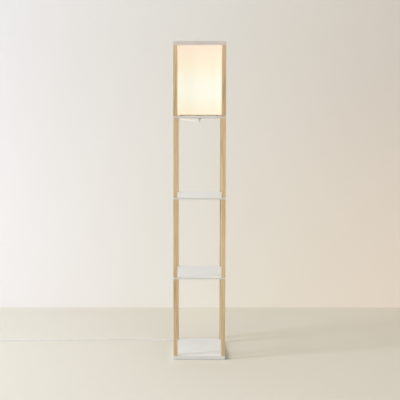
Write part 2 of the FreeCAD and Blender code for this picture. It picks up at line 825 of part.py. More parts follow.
def coil_point(turn):
    """Centre of the cord after so many turns: in and out again, up a layer midway."""
    turns = size("coil_turns")
    radius = size("coil_radius") - size("coil_pitch") * min(turn, turns - turn)
    climb = min(max((turn - turns / 2 + 0.25) / 0.5, 0), 1)
    height = size("cord_diameter") / 2 + size("coil_climb") * climb ** 2 * (3 - 2 * climb)
    angle = math.pi / 2 + 2 * math.pi * turn
    return Vector(COIL_CENTRE[0] + radius * math.cos(angle),
                  COIL_CENTRE[1] + radius * math.sin(angle), height)


def coil_path():
    """Quarter turns as biarcs, with a straight diameter of cord at each end."""
    quarters = int(4 * size("coil_turns"))
    straight = Vector(-size("cord_diameter"), 0, 0)
    points = [coil_point(quarter / 4) for quarter in range(quarters + 1)]
    headings = []
    for quarter in range(quarters + 1):
        ahead = coil_point(quarter / 4 + 0.001) - coil_point(quarter / 4 - 0.001)
        headings.append(ahead.normalize())
    headings[0] = headings[-1] = Vector(-1, 0, 0)
    edges, radii = [Part.LineSegment(points[0] - straight, points[0])], []
    for index in range(quarters):
        arcs, bends = biarc(points[index], headings[index], points[index + 1],
                            headings[index + 1])
        edges += arcs
        radii += bends
    edges.append(Part.LineSegment(points[-1], points[-1] + straight))
    return edges, radii


def least_gap(edges):
    """Least clear distance between points of a coil that are half a turn or more apart."""
    wire = Part.Wire([edge.toShape() for edge in edges])
    points = wire.discretize(Distance=2.0)
    apart = int(math.pi * size("coil_radius") / 2.0 / 2)
    nearest = min(one.distanceToPoint(other)
                  for index, one in enumerate(points)
                  for other in points[index + apart:])
    return nearest - size("cord_diameter")


def make_plug():
    """Two-blade plug that lies beside the coil, on its side of the lead."""
    end = Vector(*LEAD_ROUTE[-1])
    along = (end - Vector(*LEAD_ROUTE[-2])).normalize()
    thickness = f"2 * {LEAD_ROUTE[-1][2]}"
    body = doc.addObject("PartDesign::Body", "plug_block")
    outline = sketch_in(body, "plug_outline", "YZ_Plane")
    rectangle(outline, "plug_width", thickness)
    chamfer(body, pad(body, outline, "plug_length"), "plug_edge")
    relief = aimed(cone("plug_relief_cone", "relief_foot", "relief_head",
                        "plug_relief + plug_edge", "0", "0", "0"), Vector(1, 0, 0))
    place(body, "plug_relief")
    blades = []
    for side in (-1, 1):
        blades.append(block(f"blade_{side + 2}", "blade_length", "blade_thickness",
                            "blade_height", "plug_relief + plug_length",
                            f"{side} * blade_spacing / 2 - blade_thickness / 2",
                            "-blade_height / 2"))
    heading = FreeCAD.Placement(end, FreeCAD.Rotation(Vector(1, 0, 0), along))
    sub_part(fuse("plug_body", [body, relief]), "plug_body").Placement = heading
    group("plug_blades", blades).Placement = heading


def make_cord():
    """Outlet, held cord and clips, then the free cord, its coil and its plug."""
    make_outlet()
    tube("cord_riser", *run_path(RISER_ROUTE))
    make_clips()
    tube("power_cord", *run_path(CORD_ROUTE))
    edges, radii = coil_path()
    tube("cord_coil", edges, radii)
    print(f"cord_coil: least gap to itself {least_gap(edges):.2f}")
    tube("plug_lead", *run_path(LEAD_ROUTE))
    make_plug()


def main():
    """Build the lamp, check it and write a file for each sub-part."""
    make_boards()
    for tier in range(len(TIERS)):
        for corner in CORNERS:
            make_post(tier, corner)
    make_fixings()
    make_shade()
    make_holder()
    make_switch()
    make_bulb()
    make_cord()
    doc.recompute()

    for item in doc.Objects:
        if "Invalid" in item.State or "Error" in item.State:
            raise RuntimeError(f"{item.Label} failed: {item.State}")
    for item in parts:
        if item.Shape.isNull() or not item.Shape.isValid() or not item.Shape.Solids:
            raise RuntimeError(f"{item.Label} has no valid solid")
    os.makedirs("parts", exist_ok=True)
    for item in parts:
        item.Shape.exportStep(f"parts/{item.Label}.step")
    print(f"{len(parts)} sub-parts, {sum(len(item.Shape.Solids) for item in parts)} solids")


main()
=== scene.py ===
"""Looks of a shelf floor lamp, built round its packed construction model.

Metres, +Z up, front towards -Y. Each sub-assembly of the lamp is a class that
builds its own meshes; each finish is a small frozen class that builds its own
node material.
"""

from __future__ import annotations

import json
import logging
import math
import sys
from collections.abc import Callable, Iterable, Mapping, Sequence
from dataclasses import dataclass, field
from enum import Enum
from functools import partial, reduce

import bmesh
import bpy
from mathutils import Matrix, Vector

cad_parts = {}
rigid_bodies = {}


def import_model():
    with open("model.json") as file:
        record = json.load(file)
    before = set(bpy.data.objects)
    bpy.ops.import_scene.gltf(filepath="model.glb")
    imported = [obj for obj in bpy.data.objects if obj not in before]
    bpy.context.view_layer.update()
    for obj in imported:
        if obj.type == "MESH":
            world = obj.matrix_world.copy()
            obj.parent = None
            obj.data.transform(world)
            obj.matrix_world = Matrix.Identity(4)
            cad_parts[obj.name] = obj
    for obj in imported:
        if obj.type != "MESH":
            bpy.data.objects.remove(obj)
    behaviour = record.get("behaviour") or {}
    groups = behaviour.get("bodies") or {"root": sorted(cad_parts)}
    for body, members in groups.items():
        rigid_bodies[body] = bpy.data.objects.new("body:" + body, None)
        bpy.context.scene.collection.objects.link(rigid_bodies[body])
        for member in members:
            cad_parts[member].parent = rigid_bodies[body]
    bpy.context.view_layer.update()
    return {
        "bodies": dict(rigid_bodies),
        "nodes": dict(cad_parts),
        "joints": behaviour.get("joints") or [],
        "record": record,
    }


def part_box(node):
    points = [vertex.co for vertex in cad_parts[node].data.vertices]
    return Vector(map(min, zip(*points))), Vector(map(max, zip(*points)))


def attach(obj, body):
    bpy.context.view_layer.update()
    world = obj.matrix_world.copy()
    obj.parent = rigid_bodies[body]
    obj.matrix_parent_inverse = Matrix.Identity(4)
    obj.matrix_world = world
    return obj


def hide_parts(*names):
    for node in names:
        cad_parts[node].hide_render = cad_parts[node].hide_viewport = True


log = logging.getLogger("shelf_lamp")

Pair = tuple[float, float]
Point = tuple[float, float, float]
Colour = tuple[float, float, float]
Socket = bpy.types.NodeSocket
Thing = bpy.types.Object
Reach = float | Callable[[float], float]

MM = 0.001
WHITE: Colour = (1.0, 1.0, 1.0)


class Body(Enum):
    """The rigid bodies of the lamp."""

    ROOT = "root"
    CHAIN = "chain"
    BULB = "bulb"


# ---------------------------------------------------------------- materials


@dataclass(frozen=True)
class Pattern:
    """A fractal pattern: cycles per metre, octaves, distortion and stretch.

    The stretch multiplies the place before the pattern is read, so a small
    number draws the pattern out along that axis.
    """

    scale: float
    detail: float
    distortion: float = 0.0
    stretch: Point = (1.0, 1.0, 1.0)


class NodeSheet:
    """The node tree of one material, with the few nodes that finishes need."""

    def __init__(self, material: bpy.types.Material) -> None:
        """Start from the material's own shader."""
        material.use_nodes = True
        self.tree = material.node_tree
        self.shader = self.tree.nodes["Principled BSDF"]

    def wire(self, source: object, target: Socket) -> None:
        """Link a socket to an input, or set the input to a plain value.

        Args:
            source: another node's output, a number, or three numbers.
            target: the input.
        """
        if isinstance(source, Socket):
            self.tree.links.new(source, target)
        elif target.type == "RGBA":
            target.default_value = (*source, 1.0)
        else:
            target.default_value = source

    def add(self, kind: str, inputs: Mapping[str | int, object],
            **settings: object) -> bpy.types.Node:
        """Add a node.

        Args:
            kind: Blender's name of the node type, without its prefix.
            inputs: what goes into its sockets, by their name or place.
            settings: the node's own properties.

        Returns:
            The new node.
        """
        node = self.tree.nodes.new(f"ShaderNode{kind}")
        for key, value in settings.items():
            setattr(node, key, value)
        for key, value in inputs.items():
            self.wire(value, node.inputs[key])
        return node

    def position(self) -> Socket:
        """The point's place in the lamp's own frame, in metres."""
        return self.add("TexCoord", {}).outputs["Object"]

    def split(self, vector: Socket) -> list[Socket]:
        """The x, y and z of a vector."""
        return list(self.add("SeparateXYZ", {0: vector}).outputs)

    def maths(self, operation: str, *values: object) -> Socket:
        """A scalar operation, such as FLOOR or MAXIMUM."""
        return self.add("Math", dict(enumerate(values)), operation=operation).outputs[0]

    def product(self, *values: object) -> Socket:
        """All the values multiplied."""
        return reduce(partial(self.maths, "MULTIPLY"), values)

    def total(self, *values: object) -> Socket:
        """All the values added up."""
        return reduce(partial(self.maths, "ADD"), values)

    def size(self, value: Socket) -> Socket:
        """A value without its sign."""
        return self.maths("ABSOLUTE", value)

    def vector(self, operation: str, *values: object) -> bpy.types.NodeOutputs:
        """The outputs of a vector operation, such as ADD or LENGTH."""
        return self.add("VectorMath", dict(enumerate(values)), operation=operation).outputs

    def noise(self, place: Socket, pattern: Pattern) -> Socket:
        """A fractal pattern from 0 to 1."""
        drawn = self.vector("MULTIPLY", place, pattern.stretch)["Vector"]
        return self.add("TexNoise", {"Vector": drawn, "Scale": pattern.scale,
                                     "Detail": pattern.detail,
                                     "Distortion": pattern.distortion}).outputs["Fac"]

    def ramp(self, value: Socket, *stops: tuple[float, Colour]) -> Socket:
        """A colour ramp.

        Args:
            value: where to read the ramp, from 0 to 1.
            stops: its places and their colours.

        Returns:
            The colour.
        """
        node = self.add("ValToRGB", {0: value})
        elements = node.color_ramp.elements
        while len(elements) < len(stops):
            elements.new(0.5)
        for element, (place, colour) in zip(elements, stops):
            element.position = place
            element.color = (*colour, 1.0)
        return node.outputs["Color"]

    def span(self, value: Socket, low: float, high: float, start: float = 0.0,
             end: float = 1.0) -> Socket:
        """Map low..high to start..end, smoothly and without leaving that range."""
        return self.add("MapRange", {"Value": value, "From Min": low, "From Max": high,
                                     "To Min": start, "To Max": end},
                        interpolation_type="SMOOTHSTEP").outputs["Result"]

    def mix(self, factor: object, first: object, second: object, blend: str = "MIX") -> Socket:
        """Two colours mixed by a factor."""
        return self.add("Mix", {0: factor, 6: first, 7: second}, data_type="RGBA",
                        blend_type=blend).outputs[2]

    def tint(self, colour: object, tone: Socket) -> Socket:
        """A colour multiplied by a tone or by another colour."""
        return self.mix(1.0, colour, tone, "MULTIPLY")

    def set(self, **inputs: object) -> None:
        """Set or link inputs of the shader; underscores stand for spaces."""
        for key, value in inputs.items():
            self.wire(value, self.shader.inputs[key.replace("_", " ")])

    def bump(self, height: Socket, distance: float, strength: float) -> None:
        """Let a height pattern tilt the surface."""
        self.set(Normal=self.add("Bump", {"Height": height, "Distance": distance,
                                          "Strength": strength}).outputs[0])

    def blend(self, factor: Socket, other: bpy.types.Node) -> None:
        """Send a mix of the material's shader and another one to its output."""
        mixed = self.add("MixShader", {0: factor, 1: self.shader.outputs[0],
                                       2: other.outputs[0]}).outputs[0]
        self.wire(mixed, self.tree.nodes["Material Output"].inputs["Surface"])


@dataclass(frozen=True)
class Finish:
    """A finish of the lamp; it makes its material once."""

    name: str

    def material(self) -> bpy.types.Material:
        """The finish's material, made when it is first asked for."""
        known = bpy.data.materials.get(f"lamp_{self.name}")
        if known is None:
            known = bpy.data.materials.new(f"lamp_{self.name}")
            self.paint(NodeSheet(known))
        return known

    def paint(self, sheet: NodeSheet) -> None:
        """Build the material's nodes."""
        raise NotImplementedError


@dataclass(frozen=True)
class PostWood(Finish):
    """Pale straight-grained wood under a satin clear coat; each stick differs."""

    name: str = "post_wood"
    pale: Colour = (0.87, 0.684, 0.423)
    middle: Colour = (0.785, 0.59, 0.346)
    dark: Colour = (0.595, 0.402, 0.207)
    # painted shade: a darker tone for the posts beside the lampshade
    lamp_tier_painted_shade: float = 0.955
    tier_foot: float = 0.020
    tier_step: float = 0.402
    figure: Pattern = Pattern(60, 4, 0.7, (1.0, 1.0, 0.07))
    lines: Pattern = Pattern(330, 3, 0.4, (1.0, 1.0, 0.02))
    pores: Pattern = Pattern(1900, 2, 0.0, (1.0, 1.0, 0.05))
    streaks: Pattern = Pattern(34, 2, 1.2, (1.0, 1.0, 0.16))

    def paint(self, sheet: NodeSheet) -> None:
        """Grain along Z, late-wood lines, pores, a tone of each stick, and painted shade by the
        lampshade.
        """
        place = sheet.position()
        x, y, z = sheet.split(place)
        tier = sheet.maths("DIVIDE", sheet.total(z, -self.tier_foot), self.tier_step)
        tier = sheet.maths("FLOOR", tier)
        corner = sheet.add("CombineXYZ", {0: sheet.maths("SIGN", x), 1: sheet.maths("SIGN", y),
                                          2: tier}).outputs[0]
        stick = sheet.add("TexWhiteNoise", {"Vector": corner}, noise_dimensions="3D").outputs
        own = sheet.vector("ADD", place, stick["Color"])["Vector"]
        lines, pores = sheet.noise(own, self.lines), sheet.noise(own, self.pores)
        grain = sheet.total(sheet.product(sheet.noise(own, self.figure), 0.55),
                            sheet.product(lines, 0.45))
        colour = sheet.ramp(grain, (0.36, self.dark), (0.50, self.middle), (0.66, self.pale))
        streak = sheet.span(sheet.noise(own, self.streaks), 0.60, 0.80, 0.0, 0.55)
        colour = sheet.mix(streak, colour, self.dark)
        colour = sheet.mix(sheet.span(pores, 0.58, 0.80, 0.0, 0.30), colour, self.dark)
        # painted shade: the posts beside the lampshade are darker; each stick keeps its own
        # random tone
        tone = sheet.product(sheet.span(stick["Value"], 0.0, 1.0, 0.96, 1.04),
                             sheet.span(tier, 2.4, 2.6, 1.0, self.lamp_tier_painted_shade))
        sheet.set(Base_Color=sheet.tint(colour, tone),
                  Roughness=sheet.span(pores, 0.3, 0.8, 0.40, 0.56),
                  Coat_Weight=0.12, Coat_Roughness=0.35)
        sheet.bump(sheet.total(lines, pores), 0.12 * MM, 0.5)


@dataclass(frozen=True)
class WhiteFoil(Finish):
    """White foil on board: satin, with a faint mottle and painted shade along the shelves' edges.
    """

    name: str = "shelf_paint"
    colour: Colour = (0.88, 0.89, 0.875)
    shade: Colour = (0.845, 0.85, 0.83)
    # painted shade: a darker, warmer tone on the shelves' edges
    rim_painted_shade: Colour = (0.93, 0.915, 0.885)
    # painted shade and painted light on the edge of the shelf under the lampshade
    lamp_edge_painted_shade: Colour = (0.83, 0.83, 0.82)
    lamp_edge_painted_light: Colour = (1.09, 1.07, 1.04)
    spill: Colour | None = None
    half: float = 0.130
    opening: float = 0.109
    underside: float = 1.574
    mottle: Pattern = Pattern(14, 4)
    peel: Pattern = Pattern(900, 2)
    rub: Pattern = Pattern(160, 3, 0.0, (1.0, 0.12, 1.0))

    def paint(self, sheet: NodeSheet) -> None:
        """A faint cloud of tone, a fine orange-peel surface and painted shade on the shelves'
        edges.

        The shelf under the lit shade has painted shade at the foot of its edge and painted
        light towards its top. A panel with a spill colour has painted light on its
        underside, as if lit from below by the shade, less so at its rim.
        """
        place = sheet.position()
        x, y, z = sheet.split(place)
        reach = sheet.maths("MAXIMUM", sheet.size(x), sheet.size(y))
        rim = sheet.span(reach, self.half - 0.6 * MM, self.half - 0.3 * MM)
        mottle = sheet.span(sheet.noise(place, self.mottle), 0.35, 0.7, 0.0, 0.5)
        colour = sheet.mix(mottle, self.colour, self.shade)
        # painted shade on the edges of the boards above the base
        shaded_rims = sheet.product(rim, sheet.span(z, 0.2, 0.4))
        colour = sheet.tint(colour, sheet.mix(shaded_rims, WHITE, self.rim_painted_shade))
        # painted shade at the foot and painted light at the top of the light shelf's edge
        painted_lamp_edge = sheet.product(rim, sheet.span(z, 1.200, 1.215))
        lit = sheet.ramp(sheet.span(z, 1.2175, 1.2255), (0.0, self.lamp_edge_painted_shade),
                         (1.0, self.lamp_edge_painted_light))
        colour = sheet.tint(colour, sheet.mix(painted_lamp_edge, WHITE, lit))
        rub = sheet.noise(place, self.rub)
        sheet.set(Base_Color=colour, Roughness=sheet.span(rub, 0.3, 0.7, 0.34, 0.50))
        # painted light: a glow on the panel's underside, strongest beside the lampshade, less at
        # its rim
        if self.spill is not None:
            below = sheet.span(z, self.underside + 0.6 * MM, self.underside + 0.2 * MM)
            near = sheet.span(reach, self.opening, self.half, 1.0, 0.6)
            sheet.set(Emission_Color=self.spill, Emission_Strength=sheet.product(below, near))
        sheet.bump(sheet.noise(place, self.peel), 0.04 * MM, 0.35)


@dataclass(frozen=True)
class LitLinen(Finish):
    """Linen-look fabric with the bulb's glow behind it."""

    name: str = "shade_fabric"
    cloth: Colour = (0.50, 0.46, 0.40)
    glow_near: Colour = (0.632, 0.644, 0.541)
    glow_far: Colour = (0.632, 0.483, 0.255)
    glow_head: Colour = (0.035, 0.052, 0.150)
    # painted light: extra glow towards the sleeve's corners
    corner_painted_light: float = 0.08
    bulb_height: float = 1.360
    reach: float = 0.24
    corner: float = 0.109
    head: float = 1.573
    head_reach: float = 0.11
    thread: float = 0.00075
    wander: Pattern = Pattern(260, 2)
    slubs_along: Pattern = Pattern(1100, 2, 0.0, (0.06, 0.06, 1.0))
    slubs_up: Pattern = Pattern(1100, 2, 0.0, (1.0, 1.0, 0.06))

    def weave(self, sheet: NodeSheet, place: Socket) -> Socket:
        """Height of crossed threads with slubs.

        Args:
            sheet: the material's nodes.
            place: the point in the lamp's frame.

        Returns:
            The height, from 0 to 1.
        """
        x, y, z = sheet.split(place)
        turns = 2 * math.pi / self.thread
        wander = sheet.product(sheet.noise(place, self.wander), 2.6)
        warp, weft = (sheet.maths("SINE", sheet.total(sheet.product(way, turns), wander))
                      for way in (sheet.total(x, y), z))
        slubs = sheet.total(sheet.noise(place, self.slubs_along),
                            sheet.noise(place, self.slubs_up))
        return sheet.total(sheet.product(warp, weft, 0.22), sheet.product(slubs, 0.5))

    def glow(self, sheet: NodeSheet, place: Socket) -> Socket:
        """The bulb's light behind the cloth, and what the white top panel throws back.

        Args:
            sheet: the material's nodes.
            place: the point in the lamp's frame.

        Returns:
            The colour of the glow, with its strength in it.
        """
        x, y, z = sheet.split(place)
        rise = sheet.size(sheet.total(z, -self.bulb_height))
        level = sheet.span(rise, 0.0, self.reach, 1.0, 0.0)
        light = sheet.mix(level, self.glow_far, self.glow_near)
        top = sheet.span(z, self.head - self.head_reach, self.head)
        light = sheet.mix(top, light, self.glow_head, "ADD")
        # painted light: the glow is made brighter towards the sleeve's corners
        aside = sheet.maths("MINIMUM", sheet.size(x), sheet.size(y))
        edge = sheet.span(aside, 0.6 * self.corner, self.corner, 1.0, 1.0 + self.corner_painted_light)
        return sheet.tint(light, edge)

    def paint(self, sheet: NodeSheet) -> None:
        """Threads show as texture, and as light and dark where the bulb shines through."""
        place = sheet.position()
        weave = self.weave(sheet, place)
        cloth = sheet.tint(self.cloth, sheet.span(weave, 0.15, 0.85, 0.90, 1.06))
        lit = sheet.tint(self.glow(sheet, place), sheet.span(weave, 0.15, 0.85, 1.08, 0.90))
        sheet.set(Base_Color=cloth, Roughness=0.92, Sheen_Weight=0.15, Emission_Color=lit,
                  Emission_Strength=1.0)
        sheet.bump(weave, 0.18 * MM, 0.6)


@dataclass(frozen=True)
class Metal(Finish):
    """Plated or bare metal with a fine brushed break-up."""

    colour: Colour = (0.62, 0.60, 0.56)
    roughness: float = 0.30
    marks: Pattern = Pattern(1500, 3, 0.0, (1.0, 1.0, 0.15))
    tarnish: Pattern = Pattern(90, 3)

    def paint(self, sheet: NodeSheet) -> None:
        """Fine marks in the gloss and a trace of tarnish."""
        place = sheet.position()
        marks = sheet.noise(place, self.marks)
        tarnish = sheet.span(sheet.noise(place, self.tarnish), 0.4, 0.75, 0.0, 0.6)
        dull = tuple(0.78 * part for part in self.colour)
        rough = sheet.span(marks, 0.3, 0.7, 0.75 * self.roughness, 1.3 * self.roughness)
        sheet.set(Base_Color=sheet.mix(tarnish, self.colour, dull), Metallic=1.0,
                  Roughness=rough)
        sheet.bump(marks, 0.02 * MM, 0.4)


@dataclass(frozen=True)
class Plastic(Finish):
    """Moulded or extruded plastic with a fine mould grain."""

    colour: Colour = (0.78, 0.76, 0.72)
    roughness: float = 0.42
    grain: float = 2400.0
    depth: float = 0.03 * MM
    cloud: Pattern = Pattern(55, 3)

    def paint(self, sheet: NodeSheet) -> None:
        """A little cloud in the colour, and a fine grain in gloss and surface."""
        place = sheet.position()
        fine = sheet.noise(place, Pattern(self.grain, 2))
        cloud = sheet.span(sheet.noise(place, self.cloud), 0.35, 0.7)
        dull = tuple(0.90 * part for part in self.colour)
        rough = sheet.span(fine, 0.3, 0.7, self.roughness - 0.06, self.roughness + 0.08)
        sheet.set(Base_Color=sheet.mix(cloud, self.colour, dull), Roughness=rough)
        sheet.bump(fine, self.depth, 0.5)


@dataclass(frozen=True)
class CordSheath(Plastic):
    """White cord sheath, with painted light where floor or lamp light reach it."""

    name: str = "cord_pvc"
    colour: Colour = (0.88, 0.87, 0.84)
    roughness: float = 0.40
    grain: float = 1200.0
    painted_glow: Colour = (1.0, 0.97, 0.90)
    floor_painted_light: float = 0.18
    lamp_painted_light: float = 0.24

    def paint(self, sheet: NodeSheet) -> None:
        """Plastic with painted light near the floor and below the lit bay."""
        super().paint(sheet)
        height = sheet.split(sheet.position())[2]
        # painted light: a glow on the cord near the floor and on the stretch below the lit bay
        low = sheet.span(height, 1.0 * MM, 4.5 * MM, self.floor_painted_light, 0.0)
        high = sheet.span(height, 1.06, 1.205, 0.0, self.lamp_painted_light)
        sheet.set(Emission_Color=self.painted_glow, Emission_Strength=sheet.total(low, high))


@dataclass(frozen=True)
class Felt(Finish):
    """Pressed grey-brown felt."""

    name: str = "felt"
    colour: Colour = (0.22, 0.20, 0.18)
    fibres: Pattern = Pattern(1400, 5, 2.0)

    def paint(self, sheet: NodeSheet) -> None:
        """Matted fibres in colour and height."""
        fibres = sheet.noise(sheet.position(), self.fibres)
        light = tuple(1.8 * part for part in self.colour)
        sheet.set(Base_Color=sheet.mix(sheet.span(fibres, 0.35, 0.7), self.colour, light),
                  Roughness=0.95, Sheen_Weight=0.4)
        sheet.bump(fibres, 0.4 * MM, 0.8)


@dataclass(frozen=True)
class OpalGlow(Finish):
    """Opal globe of the bulb, lit from within."""

    name: str = "bulb_opal"
    colour: Colour = (0.92, 0.89, 0.82)
    glow: Colour = (1.0, 0.86, 0.62)
    strength: float = 6.0
    frost: Pattern = Pattern(700, 2)

    def paint(self, sheet: NodeSheet) -> None:
        """Brightest at the crown, a little less towards the neck."""
        place = sheet.position()
        power = sheet.product(
            sheet.span(sheet.split(place)[2], 1.325, 1.365, 0.6, 1.0),
            sheet.span(sheet.noise(place, self.frost), 0.3, 0.7, 0.96, 1.04))
        sheet.set(Base_Color=self.colour, Roughness=0.38, Emission_Strength=self.strength,
                  Emission_Color=sheet.tint(self.glow, power))


FINISHES: dict[str, Finish] = {finish.name: finish for finish in (
    PostWood(),
    PostWood("batten_wood", (0.86, 0.77, 0.64), (0.82, 0.72, 0.58), (0.70, 0.58, 0.44), 1.0),
    PostWood("beech_dowel", (0.70, 0.53, 0.34), (0.64, 0.46, 0.28), (0.53, 0.36, 0.20), 1.0),
    WhiteFoil(),
    WhiteFoil("top_paint", (0.776, 0.72, 0.689), (0.726, 0.67, 0.63), WHITE, WHITE, WHITE,
              (0.30, 0.27, 0.24)),
    LitLinen(),
    Felt(),
    Metal("zinc_steel", (0.60, 0.60, 0.58), 0.36),
    Metal("nickel", (0.80, 0.78, 0.74), 0.26),
    Metal("thread_metal", (0.70, 0.69, 0.66), 0.28),
    Metal("brass_contact", (0.72, 0.52, 0.24), 0.26),
    Plastic("ring_steel", (0.78, 0.75, 0.70), 0.38, 900.0, 0.04 * MM),
    Plastic("phenolic", (0.025, 0.024, 0.023), 0.36),
    Plastic("nylon", (0.74, 0.72, 0.68), 0.45),
    OpalGlow(),
    Plastic("bulb_plastic", (0.82, 0.80, 0.76), 0.30),
    CordSheath("moulded_pvc", (0.79, 0.77, 0.72), 0.46, 1800.0, 0.05 * MM, floor_painted_light=0.0),
    CordSheath(),
    Plastic("clip_plastic", (0.76, 0.74, 0.70), 0.44),
)}


# ------------------------------------------------------------------- shapes


def ease(share: float) -> float:
    """Ease from 0 to 1, level at both ends."""
    share = min(max(share, 0.0), 1.0)
    return share * share * (3 - 2 * share)


def angles(count: int) -> list[float]:
    """Evenly spaced angles of one full turn."""
    return [2 * math.pi * step / count for step in range(count)]


def arc(middle: Pair, radius: float, start: float, end: float, steps: int,
        squash: float = 1.0) -> list[Pair]:
    """Points along an arc.

    Args:
        middle: the arc's centre.
        radius: its radius.
        start: the first angle.
        end: the last angle.
        steps: pieces between them.
        squash: how much of the radius is left up and down.

    Returns:
        The points, with both ends.
    """
    turns = [start + (end - start) * step / steps for step in range(steps + 1)]
    return [(middle[0] + radius * math.cos(turn), middle[1] + squash * radius * math.sin(turn))
            for turn in turns]


def ring(foot: Point, height: float, radius: Reach, segments: int) -> list[Point]:
    """Points round an upright axis.

    Args:
        foot: the point on the axis where heights start.
        height: the ring's height over it.
        radius: the ring's radius, or a function that gives it by angle.
        segments: how many points go round.

    Returns:
        The points.
    """
    x, y, z = foot
    points = []
    for turn in angles(segments):
        reach = radius(turn) if callable(radius) else radius
        points.append((x + reach * math.cos(turn), y + reach * math.sin(turn), z + height))
    return points


def rows_of(radius_at: Callable[[float, float], float], height: float, rows: int,
            bore: float | None = None) -> list[tuple[Reach, float]]:
    """The rings of a tube or rod whose radius varies with height and angle.

    Args:
        radius_at: outside radius by height and angle.
        height: its length up the axis.
        rows: rows of points up the side.
        bore: the bore's radius, or None for a solid rod.

    Returns:
        Radius and height of each ring, from the foot.
    """
    levels = [height * row / rows for row in range(rows + 1)]
    outline = [(partial(radius_at, level), level) for level in levels]
    return outline if bore is None else [*outline, (bore, height), (bore, 0.0)]


def fillet_outline(corners: Sequence[Pair], radius: float, steps: int = 4,
                   closed: bool = False) -> list[Pair]:
    """Round the corners of an outline.

    Args:
        corners: the outline's corners.
        radius: the largest rounding; short sides get less.
        steps: how many pieces make each round.
        closed: whether the last corner is followed by the first.

    Returns:
        The rounded outline.
    """
    points = [Vector(corner) for corner in corners]
    result: list[Pair] = []
    for index, corner in enumerate(points):
        before = points[index - 1] - corner
        after = points[(index + 1) % len(points)] - corner
        reach = min(radius, 0.45 * before.length, 0.45 * after.length)
        if reach < 1e-6 or not closed and index in (0, len(points) - 1):
            result.append(tuple(corner))
            continue
        entry, leave = (corner + way.normalized() * reach for way in (before, after))
        for step in range(steps + 1):
            share = step / steps
            low, high = entry.lerp(corner, share), corner.lerp(leave, share)
            result.append(tuple(low.lerp(high, share)))
    return result


@dataclass(frozen=True)
class Thread:
    """A rolled thread, run out at both ends: its heights, crest, depth and rise per turn."""

    foot: float
    head: float
    radius: float
    depth: float
    pitch: float

    def radius_at(self, height: float, angle: float) -> float:
        """The wall's radius at one height and angle."""
        wave = 0.5 + 0.5 * math.cos(2 * math.pi * (height / self.pitch) - angle)
        fade = min(1.0, max(0.0, (height - self.foot) / self.pitch),
                   max(0.0, (self.head - height) / self.pitch))
        return self.radius - self.depth * (1.0 - wave) * fade


# ------------------------------------------------------------------- meshes


def linked(name: str, data: bpy.types.ID) -> Thing:
    """Make an object of its data, and link it to the scene."""
    thing = bpy.data.objects.new(name, data)
    bpy.context.scene.collection.objects.link(thing)
    return thing


def finished(name: str, work: bmesh.types.BMesh) -> Thing:
    """Make an object of a working mesh, which is freed."""
    mesh = bpy.data.meshes.new(name)
    work.to_mesh(mesh)
    work.free()
    return linked(name, mesh)


def mesh_piece(name: str, vertices: Iterable[Sequence[float]], faces: Iterable[Sequence[int]],
               smooth: bool = True) -> Thing:
    """Make an object of vertices and faces, with its faces turned outwards.

    Args:
        name: the piece's name.
        vertices: points in the lamp's frame.
        faces: vertex numbers of each face.
        smooth: whether the faces are shaded smooth.

    Returns:
        The new object, linked to the scene.
    """
    mesh = bpy.data.meshes.new(name)
    mesh.from_pydata([tuple(point) for point in vertices], [], [tuple(face) for face in faces])
    work = bmesh.new()
    work.from_mesh(mesh)
    bmesh.ops.remove_doubles(work, verts=work.verts, dist=1e-7)
    bmesh.ops.recalc_face_normals(work, faces=work.faces)
    work.to_mesh(mesh)
    work.free()
    if smooth:
        mesh.shade_smooth()
        mesh.set_sharp_from_angle(angle=math.radians(40))
    return linked(name, mesh)


def loft(name: str, rings: Sequence[Sequence[Sequence[float]]], closed: bool = False,
         smooth: bool = True) -> Thing:
    """Skin a row of rings that have the same number of points.

    Args:
        name: the piece's name.
        rings: closed rings of points.
        closed: whether the last ring joins the first; else both are filled.
        smooth: whether the faces are shaded smooth.

    Returns:
        The new object.
    """
    count, last = len(rings[0]), len(rings) - 1
    faces: list[list[int]] = []
    for row in range(last + closed):
        here, there = row * count, (row + 1) % len(rings) * count
        for column in range(count):
            after = (column + 1) % count
            faces.append([here + column, here + after, there + after, there + column])
    if not closed:
        faces += [[row * count + column for column in range(count)] for row in (0, last)]
    return mesh_piece(name, [point for row in rings for point in row], faces, smooth)


def lathe(name: str, outline: Iterable[tuple[Reach, float]], foot: Point = (0.0, 0.0, 0.0),
          segments: int = 48, closed: bool = False) -> Thing:
    """Turn an outline of radius and height pairs about an upright axis.

    Args:
        name: the piece's name.
        outline: radius and height of each corner, from the foot.
        foot: the point on the axis where heights start.
        segments: how many steps go round.
        closed: whether the outline is a closed section, as of a tube.

    Returns:
        The new object.
    """
    return loft(name, [ring(foot, height, radius, segments) for radius, height in outline],
                closed)


def sweep(name: str, centres: Sequence[Vector], radii: Sequence[float],
          segments: int) -> Thing:
    """A round tube through centres, with a radius at each.

    Args:
        name: the piece's name.
        centres: points along the middle, from an upright start.
        radii: the tube's radius at each of them.
        segments: points round each ring.

    Returns:
        The new object.
    """
    rings = []
    aside = Vector((0.0, 1.0, 0.0))
    for index, (centre, radius) in enumerate(zip(centres, radii)):
        ahead = centres[min(index + 1, len(centres) - 1)] - centres[max(index - 1, 0)]
        ahead.normalize()
        aside = (aside - ahead * aside.dot(ahead)).normalized()
        other = ahead.cross(aside)
        rings.append([centre + (aside * math.cos(turn) + other * math.sin(turn)) * radius
                      for turn in angles(segments)])
    return loft(name, rings)


def joined(name: str, pieces: Iterable[Thing]) -> Thing:
    """Join separate solids into one object."""
    work = bmesh.new()
    for piece in pieces:
        work.from_mesh(piece.data)
        bpy.data.objects.remove(piece)
    return finished(name, work)


def stance(node: str) -> Pair:
    """How high a construction node starts, and how tall it is."""
    low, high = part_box(node)
    return low[2], high[2] - low[2]


# ---------------------------------------------------------------- placement


